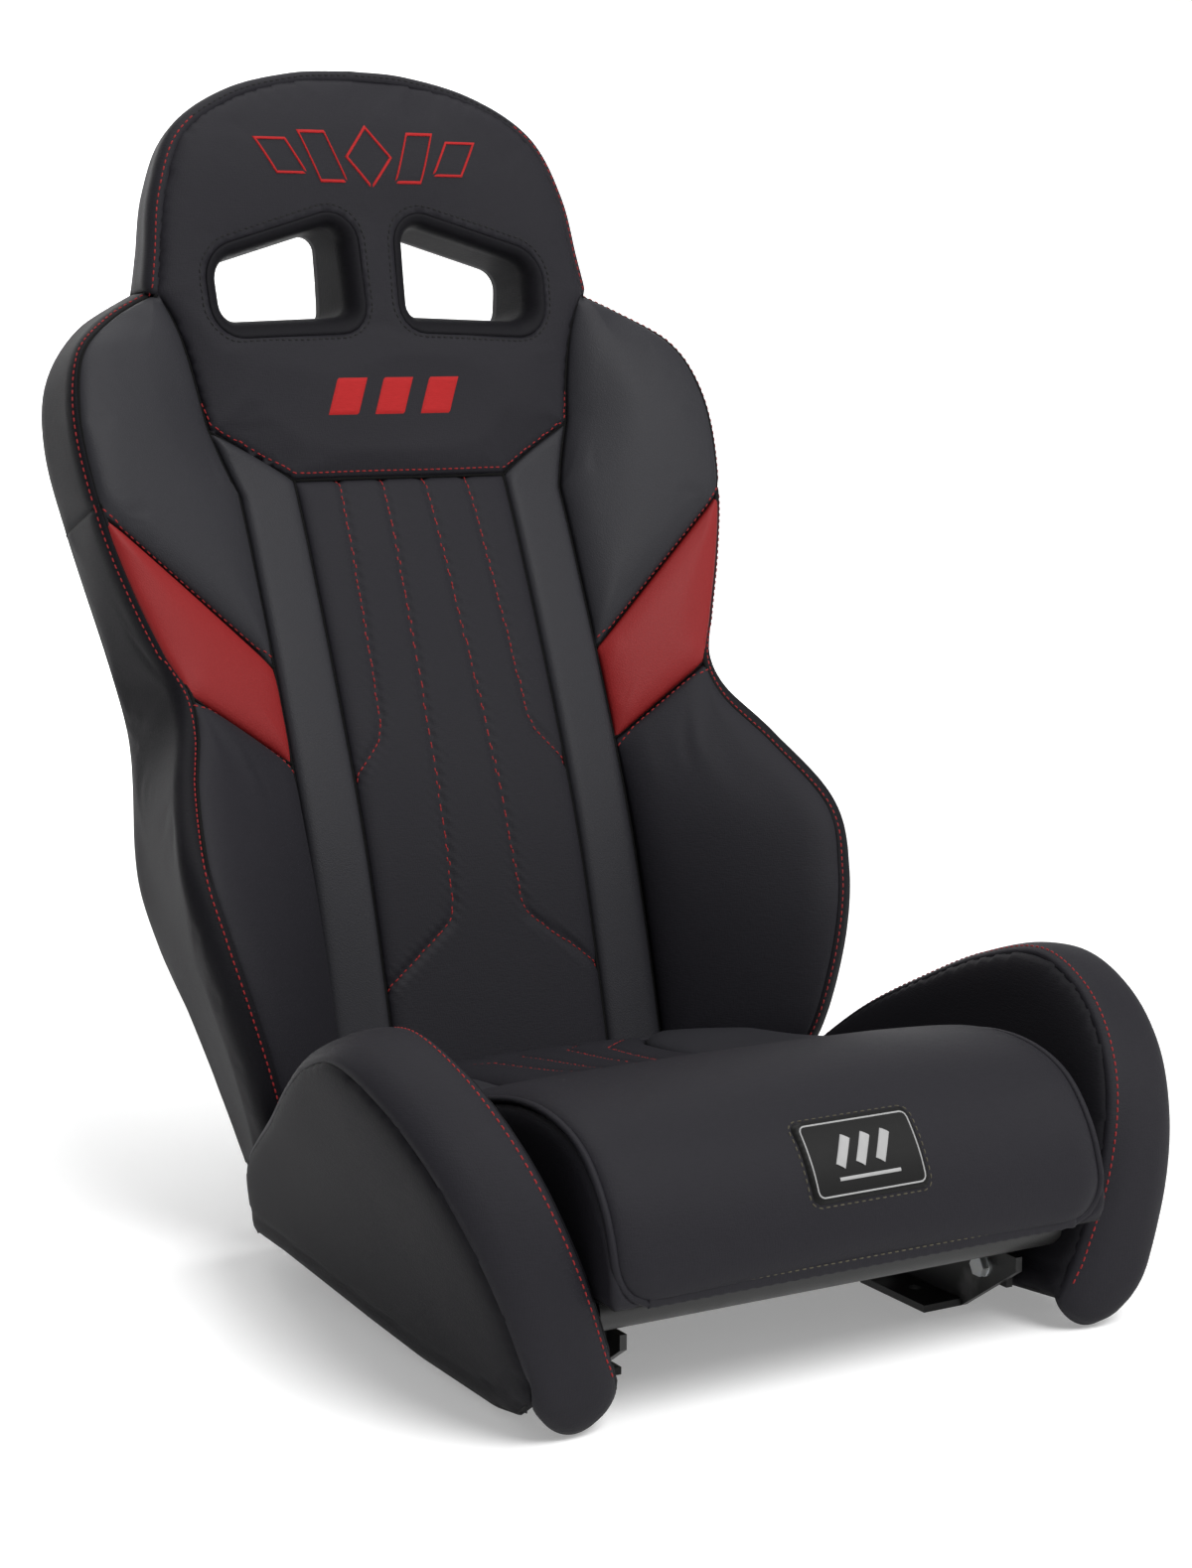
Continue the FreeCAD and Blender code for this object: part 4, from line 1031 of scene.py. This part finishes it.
profile = smooth_line(cushion_rows, 600)
profile_way = np.gradient(profile, axis=0)
profile_way /= np.linalg.norm(profile_way, axis=1, keepdims=True)
profile_gone = np.concatenate([[0], np.cumsum(np.linalg.norm(np.diff(profile, axis=0), axis=1))])
profile_end = profile_gone[-1]
roll_start = float(np.interp(-roll_seam_y, -profile[:, 0], profile_gone))


def half_width(gone):
    """The roll's half width: its lower corners are rounded."""
    reach, cut = .030, .026
    t = np.clip((gone - profile_end + reach) / reach, 0, 1)
    return cushion_half - cut * (1 - np.sqrt(1 - .98 * t**2))


def on_cushion(x, gone, lift=0.0):
    """Points on the cushion's upper side: x across, `gone` metres from its back edge, `lift`
    above it. The outward direction is the profile's own turned by a right angle."""
    y, z, way_y, way_z = (np.interp(gone, profile_gone, column)
                          for column in (*profile.T, *profile_way.T))
    return places(x, y + lift * way_z, z - lift * way_y)


def cushion_grid(start, end, left, right, rows, columns):
    """Rows run forwards from start to end, columns between two edges given as functions of y."""
    gone = np.linspace(start, end, rows)[:, None]
    u = np.linspace(0, 1, columns)[None, :]
    y = np.interp(gone, profile_gone, profile[:, 0])
    x = left(y) * (1 - u) + right(y) * u
    return on_cushion(x, gone)


def seam_x(y):
    return follow(cushion_seam, y)[..., 0]


def edge_x(y):
    return np.interp(y, [corner_y, back_y], [cushion_half, back_half])


grid = cushion_grid(0, roll_start, lambda y: -seam_x(y), seam_x, 110, 96)
flat = grid[..., [0, 1]]
grid = crowned(grid, (0, 0, 1), .0050, .020, .003)
grid = quilted(grid, flat, cushion_quilting, (0, 0, -1))
cushion_centre = grid_object("cushion_quilted_centre", grid, facing=(0, 0, 1))
sewn(cushion_centre, black_vinyl, "cushion", "cover_black", "cushion_top_panel", "cushion_foam")
for side, sign in sides:
    grid = cushion_grid(0, roll_start, seam_x, edge_x, 90, 40)
    grid = crowned(grid, (0, 0, 1), .0055, .020, .003)
    piece = grid_object("cushion_side_top_" + side, at_side(grid, sign), facing=(0, 0, 1))
    stretch(piece, 1.5, .003)
    sewn(piece, charcoal_vinyl, "cushion", "vinyl_charcoal")

gone = np.linspace(roll_start, profile_end, 120)[:, None]
grid = on_cushion(half_width(gone) * np.linspace(-1, 1, 120)[None, :], gone)
grid = crowned(grid, grid - np.array(cushion_heart), .0055, .022, .003)
front_roll = grid_object("cushion_roll", grid, away_from=cushion_heart)
stretch(front_roll, 1.5, .003)
sewn(front_roll, black_vinyl, "cushion", "cover_black", "cushion_front_roll")


def cushion_edge():
    """The cushion's upper edge from the front right corner round the back to the front left."""
    ahead = profile[:, 0] <= corner_y
    right = np.column_stack([half_width(profile_gone[ahead][::-6]), profile[ahead][::-6]])
    plan = np.vstack([dense([(cushion_half, corner_y), (back_half, back_y)])[1:],
                      dense([(back_half, back_y), (0, back_y)], .008)[1:]])
    z = np.interp(-plan[:, 1], -profile[:, 0], profile[:, 1])
    half = np.vstack([right, np.column_stack([plan, z])])
    return np.vstack([half, mirror(half)[-2::-1]])


rim = cushion_edge()
v = np.linspace(0, 1, 24)[:, None, None]
foot = rim * (1, 1, 0) + (0, 0, cushion_base)
grid = foot[None] * (1 - v) + rim[None] * v
grid = crowned(grid, (grid - np.array(cushion_heart)) * (1, 1, 0), .0030, .014, .003)
side_band = grid_object("cushion_band", grid, away_from=cushion_heart)
sewn(side_band, black_vinyl, "cushion", "cover_black", "cushion_side_band")

y = np.linspace(*underside_span, 60)[:, None]
x = edge_x(y) * np.linspace(-1, 1, 50)[None, :]
low = cushion_base + .0004 * np.sin(60 * x) * np.sin(45 * y)
under = grid_object("cushion_underside", places(x, y, low), facing=(0, 0, -1))
sewn(under, backing_cloth, "cushion", "backing_cloth", "cushion_bottom_panel")


def tube_grid(path, radius, reference, around=10):
    """A cord of the given radius along a path. `reference` is never along the path."""
    way = np.gradient(path, axis=0)
    way /= np.linalg.norm(way, axis=1, keepdims=True)
    first = np.cross(way, np.asarray(reference, float))
    first /= np.linalg.norm(first, axis=1, keepdims=True)
    second = np.cross(way, first)
    angle = np.linspace(0, 2 * math.pi, around, endpoint=False)[None, :, None]
    spoke = first[:, None] * np.cos(angle) + second[:, None] * np.sin(angle)
    return path[:, None] + radius * spoke


def tube_object(name, points):
    """A tube's grid as an object that faces away from its own middle line."""
    middle = np.repeat(points[:-1].mean(axis=1), points.shape[1], axis=0)
    return grid_object(name, points, away_from=middle, wrap=True)


piping_radius = .0026
for side, sign in sides:
    path = evenly(rim[:len(rim) // 2 - 12], 180)
    cord = at_side(tube_grid(path, piping_radius, (1, .3, 0)), sign)
    fitted(tube_object("cushion_piping_" + side, cord), black_vinyl, "cushion", "cover_black")

binding_half, binding_front, binding_height, binding_fold = .162, -.3785, .012, .0022
u = np.linspace(-binding_half, binding_half, 150)[None, :]
v = np.linspace(0, math.pi, 14)[:, None]
y = binding_front - binding_fold * np.sin(v) ** .6
z = cushion_base - .001 + binding_height * (1 - np.cos(v)) / 2 + .0003 * np.sin(u * 700)
binding = grid_object("cushion_binding", places(u, y, z), facing=(0, -1, 0))
sewn(binding, black_vinyl, "cushion", "cover_black")


def webbing_loop(rows=60, columns=10):
    """A pull strap folded into a loop: it hangs from the cushion rail and turns up again."""
    bend = smooth_line([(.176, -.322, .080), (.179, -.326, .060), (.181, -.328, .042),
                        (.186, -.327, .034), (.190, -.325, .042), (.189, -.323, .060)], rows)
    width = np.linspace(-.006, .006, columns)[None, :, None] * np.array([.25, 1.0, 0])
    return bend[:, None] + width


strap = grid_object("pull_strap", webbing_loop(), facing=(-1, 0, 0))
folded = strap.modifiers.new("skin", "SOLIDIFY")
folded.thickness = .0014
fitted(strap, nylon("strap_webbing"), "seat", "backing_cloth")
wear(nodes["hook_strips"], nylon("hook_tape"))
wear(nodes["loop_strips"], nylon("loop_tape"))


# ---------------------------------------------------------------- moulded badge
# A rubber plate sewn to the front roll, with a raised pale border and a plain emblem of three
# leaning bars inside it.
badge_gone = float(np.interp(-.147, -profile[300:, 1], profile_gone[300:]))
badge_half = (.0445, .0255)
badge_thickness, badge_sunk = .0030, .0010
border_inset = .0042
skin_trees = {}


def skin_tree(piece):
    """A search tree over a piece's outer skin, made once for each piece."""
    if piece.name not in skin_trees:
        mesh = piece.data
        points = np.empty(len(mesh.vertices) * 3)
        mesh.vertices.foreach_get("co", points)
        corners = np.empty(len(mesh.loops), int)
        mesh.loops.foreach_get("vertex_index", corners)
        faces = corners.reshape(len(mesh.polygons), -1).tolist()
        skin_trees[piece.name] = BVHTree.FromPolygons(points.reshape(-1, 3).tolist(), faces)
    return skin_trees[piece.name]


def roll_height(x, gone):
    """How far the padded roll stands out from the cushion's cutting line."""
    start = on_cushion(np.array(x), np.array(gone))
    outward = on_cushion(np.array(x), np.array(gone), 1.0) - start
    hit = skin_tree(front_roll).ray_cast(Vector(start - outward * .01), Vector(outward))
    return (hit[3] or .018) - .01


badge_seat = max(roll_height(x, badge_gone + rise) for x in (-.04, 0, .04)
                 for rise in (-.022, 0, .022))


def rubber(name, shade):
    moulded = Finish(name, Specular_IOR_Level=0.15)
    moulded.colour(moulded.mix(moulded.noise(60, 4), grey(shade * .85), grey(shade * 1.15)))
    moulded.roughness(moulded.noise(200, 3) * 0.15 + 0.42)
    moulded.bump(moulded.noise(1600, 2), 0.0001, 0.4)
    return moulded.material


def box_outline(half_x, half_z, radius, count):
    corners = [(-half_x, -half_z), (half_x, -half_z), (half_x, half_z), (-half_x, half_z)]
    return rounded_outline(corners, [radius] * 4, count)


def badge_point(flat, lift):
    """Badge coordinates (x, up the roll) to a place on the roll."""
    return on_cushion(flat[..., 0], badge_gone - flat[..., 1], badge_seat + lift)


outline, _ = box_outline(*badge_half, .006, 120)
flat, triangles, from_edge, _ = trimmed_sheet(outline, [], .0022)
lift = badge_thickness * swell(from_edge, .0016) - badge_sunk
plate = sheet_object("badge_plate", badge_point(flat, lift), triangles, (0, -1, .3))
fitted(plate, rubber("badge_black", .0035), "cushion", "badge_rubber", "badge")


def raised_strip(name, line, out, width, height, closed=True):
    """A narrow rib on the badge: half-round, along a line with its sideways directions."""
    angle = np.linspace(0, math.pi, 7)[:, None, None]
    across = line[None] + out[None] * (width / 2) * np.cos(angle)
    points = badge_point(across, badge_thickness - .0012 + height * np.sin(angle[..., 0]))
    return grid_object(name, points, wrap=closed, facing=(0, -1, .3))


border_line, border_out = box_outline(badge_half[0] - border_inset, badge_half[1] - border_inset,
                                      .004, 120)
pale_rubber = rubber("badge_grey", .30)
ribs = [raised_strip("badge_border", border_line, border_out, .0011, .0005)]
tilt = np.linspace(-1, 1, 12)[:, None]
bar_way = np.array([.0050, .0085])
sideways = np.array([bar_way[1], -bar_way[0]]) / np.linalg.norm(bar_way)
for k in (-1, 0, 1):
    bar = np.array([k * .0150, .0030]) + tilt * bar_way
    ribs.append(raised_strip("badge_bar_" + str(k + 2), bar, np.broadcast_to(sideways, bar.shape),
                             .0072, .0008, closed=False))
rule = np.array([0, -.0125]) + tilt * (.0230, 0)
ribs.append(raised_strip("badge_rule", rule, np.broadcast_to([0.0, 1.0], rule.shape), .0022,
                         .0006, closed=False))
for rib in ribs:
    fitted(rib, pale_rubber, "cushion", "badge_rubber")


# ---------------------------------------------------------------- sewn seams
# Where two panels meet, the folded edges and their binding thread show as a thin line at the bottom
# of
# the seam, coloured darker than the vinyl: painted shade in the crease.
fold_radius, fold_depth = .0017, .0026


def joined_tubes(name, paths, around=6):
    """One mesh of thin cords with closed ends, along several lines."""
    points, faces, start = [], [], 0
    for path in paths:
        length = np.linalg.norm(np.diff(path, axis=0), axis=1).sum()
        path = evenly(np.asarray(path, float), max(6, int(length / .006)))
        ring = tube_grid(path, fold_radius, (.31, .47, .83), around)
        index = start + np.arange(len(path) * around).reshape(len(path), around)
        index = np.concatenate([index, index[:, :1]], axis=1)
        quads = np.stack([index[:-1, :-1], index[:-1, 1:], index[1:, 1:], index[1:, :-1]], axis=-1)
        points.append(ring.reshape(-1, 3))
        faces += quads.reshape(-1, 4).tolist()
        faces += [index[0, -2::-1].tolist(), index[-1, :-1].tolist()]
        start += len(path) * around
    return mesh_object(name, np.vstack(points), faces)


def both(line):
    return [at_side(np.asarray(line, float), sign) for _, sign in sides]


def on_front(line):
    """(x, z) points put on the front face."""
    line = np.asarray(line, float)
    return places(line[:, 0], front_y(line[:, 1]), line[:, 1])


def shaded_seam_fold():
    fold = Finish("shaded_seam_fold", Roughness=0.85, Specular_IOR_Level=0.08)
    # The fold's colour is darker than the vinyl it is folded from: painted shade at the bottom of
    # the seam.
    fold.colour(fold.mix(fold.noise(800, 2), grey(.0035), grey(.0065)))
    fold.bump(fold.noise(1200, 1), 0.0003)
    return fold.material


heights = np.linspace(foam_z, neck_z, 160)
inward = np.array([0, fold_depth, 0])
seam_lines = both(inner_edge(heights) + inward)
seam_lines += both(outer_edge(np.linspace(hem_z, neck_z, 200)) + (-.0016, .0020, 0))
seam_lines += both(on_front(dense([(stripe_in, foam_z), (stripe_in, stripe_top_in)])) + inward)
hem = dense([(-stripe_in, stripe_top_in), (stripe_in, stripe_top_in)])
seam_lines.append(on_front(hem) + inward)
seam_lines += both(on_front(dense([(stripe_in, stripe_top_in), (head_corner_x, stripe_top_out)]))
                   + inward)
for z_in, z_out in (accent_low, accent_high):
    seam_lines += both(dense([inner_edge(z_in), outer_edge(z_out)]) + inward)
cross_seam = np.array([outer_edge(boxing_cross_z), rear_edge(slanted(boxing_cross_z))])
seam_lines += both(cross_seam - (.002, 0, 0))
seam_lines.append(places(arch[:, 0] * .990, front_y(arch[:, 1]) + .0022, arch[:, 1] - .0012))
fitted(joined_tubes("seam_folds", seam_lines), shaded_seam_fold(), "seat", "cover_black")

gone = np.linspace(0, roll_start, 60)
seam_lines = both(on_cushion(seam_x(np.interp(gone, profile_gone, profile[:, 0])), gone,
                             -fold_depth))
x = np.linspace(-cushion_half + .004, cushion_half - .004, 60)
seam_lines.append(on_cushion(x, np.full(60, roll_start), -fold_depth))
fitted(joined_tubes("cushion_seam_folds", seam_lines), shaded_seam_fold(), "cushion", "cover_black")


# ---------------------------------------------------------------- topstitching
# Twisted polyester thread. Dark red rows run beside the seams of the front and down the quilting,
# black ones round the belt openings, over the top of the head and along the roll, and pale ones
# round the badge and along the bound hem.
stitch_pitch, stitch_length, stitch_width = .0052, .0040, .0011


def thread(name, dark, light):
    twisted = Finish(name, Roughness=0.7, Specular_IOR_Level=0.15)
    twisted.colour(twisted.mix(twisted.noise(900, 2), dark, light))
    twisted.bump(twisted.noise(3000, 1), 0.0002, 0.6)
    return twisted.material


red_thread = thread("red_thread", (.17, .011, .012, 1), (.30, .022, .023, 1))
black_thread = thread("black_thread", grey(.006), grey(.018))
pale_thread = thread("pale_thread", (.050, .046, .032, 1), (.105, .095, .065, 1))


def snapped(line, piece, closed=False):
    """A row of stitches along a line: evenly spaced places on the piece nearest to it, and the
    way the piece faces there."""
    line = np.asarray(line, float)
    if closed:
        line = np.vstack([line, line[:1]])
    length = np.linalg.norm(np.diff(line, axis=0), axis=1).sum()
    line = evenly(line, max(2, int(length / stitch_pitch)))
    hits = [skin_tree(piece).find_nearest(Vector(point)) for point in line]
    return np.array([tuple(hit[0]) for hit in hits]), np.array([tuple(hit[1]) for hit in hits])


def stitches(name, rows, material, body, slot, length=stitch_length, width=stitch_width):
    """One object of short threads. Each is a spindle of four rings of points, thin at its two
    ends, that bends down into the cloth."""
    ring = np.array([-1, -.55, .55, 1.0])
    thick = np.array([.35, 1, 1, .35])
    around = 6
    each = len(ring) * around
    angle = np.linspace(0, 2 * math.pi, around, endpoint=False)
    centres, ways, ups = [], [], []
    for points, normals in rows:
        way = np.gradient(points, axis=0)
        centres.append(points)
        ways.append(way / np.maximum(np.linalg.norm(way, axis=1, keepdims=True), 1e-9))
        ups.append(normals)
    centre, way, up = (np.vstack(part)[:, None, None] for part in (centres, ways, ups))
    side = np.cross(way, up)
    t, r = ring[None, :, None, None], thick[None, :, None, None]
    c, s = np.cos(angle)[None, None, :, None], np.sin(angle)[None, None, :, None]
    points = centre + way * t * length / 2 + side * c * r * width / 2
    points = points + up * (s * r * width / 2 + width * (.35 - .75 * t**2))
    column = np.arange(around)
    row = np.arange(len(ring) - 1)[:, None] * around
    first = (np.arange(len(centre)) * each)[:, None, None]
    here, beside = first + row + column, first + row + (column + 1) % around
    quads = np.stack([here, here + around, beside + around, beside], axis=-1)
    caps = np.stack([first[:, 0] + column, first[:, 0] + each - 1 - column], axis=1)
    faces = quads.reshape(-1, 4).tolist() + caps.reshape(-1, around).tolist()
    fitted(mesh_object(name, points, faces), material, body, slot)


seam_gap, accent_gap = .0062, .0060
red_rows = []
for level, low, high in (("lower", .095, boxing_cross_z), ("upper", boxing_cross_z, .679)):
    z = np.linspace(low, high, 200)
    start = outer_edge(z)
    way = rear_edge(z) - start
    way /= np.linalg.norm(way, axis=1, keepdims=True)
    for (side, sign), line in zip(sides, both(start + way * seam_gap)):
        red_rows.append(snapped(line, boxing[level, side]))
for part, (z_in, z_out), shift in (("wing", accent_low, -accent_gap),
                                   ("shoulder", accent_high, accent_gap)):
    start, end = inner_edge(z_in + shift), outer_edge(z_out + shift)
    line = start + (end - start) * np.linspace(.03, .97, 40)[:, None]
    for (side, sign), row in zip(sides, both(line)):
        red_rows.append(snapped(row, bolster_fronts[part, side]))
head_hem = on_front([(-.163, .609), (-.153, .584), (-stripe_in, stripe_top_in + seam_gap),
                     (stripe_in, stripe_top_in + seam_gap), (.153, .584), (.163, .609)])
red_rows.append(snapped(head_hem, head_front))
for line in quilt_lines:
    for path in both(on_front(line)):
        red_rows.append(snapped(path, centre_panel))
arch_line = on_front(arch) + (0, seam_gap, 0)
top_start = int(np.argmax(arch[:, 1] > .815))
for line in (arch_line[:top_start], arch_line[-top_start:]):
    red_rows.append(snapped(line, head_band))
stitches("red_topstitching", red_rows, red_thread, "seat", "vinyl_red")

thigh_rows = []
inner_line = leaning(smooth_line(thigh_inner, 200), thigh_inner_x, thigh_inner_lean)
outer_line = leaning(smooth_line(thigh_outer, 200), thigh_outer_x, thigh_outer_lean)
across = (outer_line - inner_line) / np.linalg.norm(outer_line - inner_line, axis=1, keepdims=True)
for (side, sign), line in zip(sides, both((inner_line + across * .0075)[4:-4])):
    thigh_rows.append(snapped(line, thigh_bands[side]))
stitches("thigh_topstitching", thigh_rows, red_thread, "seat", "vinyl_red")

red_rows = []
for line in cushion_quilting:
    for sign in (1, -1):
        flat = np.asarray(line) * (sign, 1)
        gone = np.interp(-flat[:, 1], -profile[:, 0], profile_gone)
        red_rows.append(snapped(on_cushion(flat[:, 0], gone), cushion_centre))
stitches("cushion_quilt_stitching", red_rows, red_thread, "cushion", "vinyl_red")

dark_rows = []
for side, sign in sides:
    ring = slot_line + slot_out * (collar_reach + .0050)
    dark_rows.append(snapped(on_front(ring * (sign, 1)), head_front, closed=True))
dark_rows.append(snapped(arch_line[top_start:-top_start], head_band))
stitches("head_dark_stitching", dark_rows, black_thread, "seat", "lace_cord")
x = np.linspace(-.176, .176, 80)
roll_row = snapped(on_cushion(x, np.full(80, roll_start + .0055)), front_roll)
stitches("roll_stitching", [roll_row], black_thread, "cushion", "lace_cord")

ring, _ = box_outline(badge_half[0] + .0012, badge_half[1] + .0012, .007, 120)
x = np.linspace(-.158, .158, 70)
pale_rows = [snapped(badge_point(ring, 0.0), front_roll, closed=True),
             snapped(places(x, -.3815, .0885), binding)]
stitches("pale_stitching", pale_rows, pale_thread, "cushion", "lace_cord", .0036, .0009)


# ---------------------------------------------------------------- embroidered marks
# Satin-stitch embroidery on the head: an outlined wing shape high up, and three solid lozenges
# below the belt openings.
ribbon_half = .0011
mark_proud, mark_sunk = .0009, .0006


def satin():
    silk = Finish("satin_stitch", Roughness=0.7, Specular_IOR_Level=0.12)
    lines = silk.noise(700, 1, (.25, 1, 4))
    silk.colour(silk.mix(lines, (.24, .0085, .009, 1), (.36, .015, .016, 1)))
    silk.bump(lines, 0.0003, 0.7)
    return silk.material


satin_thread = satin()


def embroidered(name, flat):
    """Lays a grid of (x, z) points on the head, a thread's thickness proud, with its rim sunk."""
    shape = flat.shape[:2]
    hits = [skin_tree(head_front).ray_cast(Vector((x, 0, z)), Vector((0, 1, 0)))[0][1]
            for x, z in flat.reshape(-1, 2)]
    proud = np.full(shape, -mark_sunk)
    proud[1:-1, 1:-1] = mark_proud
    points = places(flat[..., 0], np.reshape(hits, shape) - proud, flat[..., 1])
    fitted(grid_object(name, points), satin_thread, "seat", "vinyl_red")


def outlined(name, corners):
    """A closed outline in satin stitch, with its corners kept sharp."""
    corners = np.asarray(corners, float)
    middle = corners.mean(axis=0)
    ring = np.vstack([dense(pair, .0035)[:-1]
                      for pair in zip(corners, np.roll(corners, -1, axis=0))])
    reach = np.linalg.norm(corners - middle, axis=1).mean()
    across = np.array([-1, -.6, 0, .6, 1])[:, None, None] * ribbon_half / reach * 1.6
    ribbon = middle + (ring[None] - middle) * (1 + across)
    embroidered(name, np.concatenate([ribbon, ribbon[:, :1]], axis=1))


outlined("mark_diamond", [(0, .7655), (.019, .7890), (0, .8125), (-.019, .7890)])
for side, sign in sides:
    for k, (near, far, low, high) in enumerate([(.026, .053, .7700, .8080),
                                                (.060, .090, .7760, .8020)]):
        slant = .010
        corners = [(near - slant / 2, low), (far - slant, low), (far + slant / 2, high),
                   (near + slant, high)]
        outlined("mark_bar_%s_%d" % (side, k + 1), np.array(corners) * (sign, 1))
for k in (-1, 0, 1):
    u = np.linspace(-1, 1, 16)[None, :]
    v = np.linspace(-1, 1, 14)[:, None]
    lozenge = places(k * .0400 + u * .0135 + v * .0060, .6045 + v * .0150)
    embroidered("lozenge_mark_" + str(k + 2), lozenge)


# ---------------------------------------------------------------- zip across the rear
# A coil zip in its woven tape, for getting the cover onto the frame; the slider and its pull are
# die-cast and painted.
zip_z, zip_half = .118, .180
zip_slope = math.atan(back_slope)


def on_rear(x, out, up):
    """Zip coordinates: across, out from the rear panel, and up along it."""
    y = rear_y(zip_z) + .0001 + out * math.cos(zip_slope) + up * math.sin(zip_slope)
    z = zip_z - out * math.sin(zip_slope) + up * math.cos(zip_slope)
    return places(x, y, z)


u = np.linspace(-zip_half - .005, zip_half + .005, 160)[None, :]
v = np.linspace(-.014, .014, 24)[:, None]
ridge = .0006 + .0006 * np.cos(v / .014 * math.pi / 2) + .0001 * np.sin(u * 900)
tape = grid_object("zip_cloth", on_rear(u, ridge, v), facing=(0, 1, -.3))
sewn(tape, nylon("zip_weave"), "seat", "zip_tape_black", "zip_tape")


def coil(pitch=.0022, wire=.00055):
    """The coil as one bent wire: loops of a flattened helix that lie across the tape."""
    turns = int(2 * zip_half / pitch)
    angle = np.linspace(0, 2 * math.pi * turns, turns * 10)
    x = -zip_half + pitch * angle / (2 * math.pi)
    path = on_rear(x, .0019 + .0008 * np.cos(angle), .0024 * np.sin(angle))
    return tube_grid(path, wire, (1, 0, 0), 5)


fitted(tube_object("zip_coil", coil()), braid(), "seat", "zip_tape_black")


def cast_metal():
    cast = Finish("painted_casting", Metallic=0.85)
    cast.colour(cast.mix(cast.noise(300, 4), grey(.10), grey(.22)))
    cast.roughness(cast.noise(420, 3) * 0.2 + 0.3)
    return cast.material


for node in ("zip_slider", "zip_pull"):
    wear(nodes[node], cast_metal())
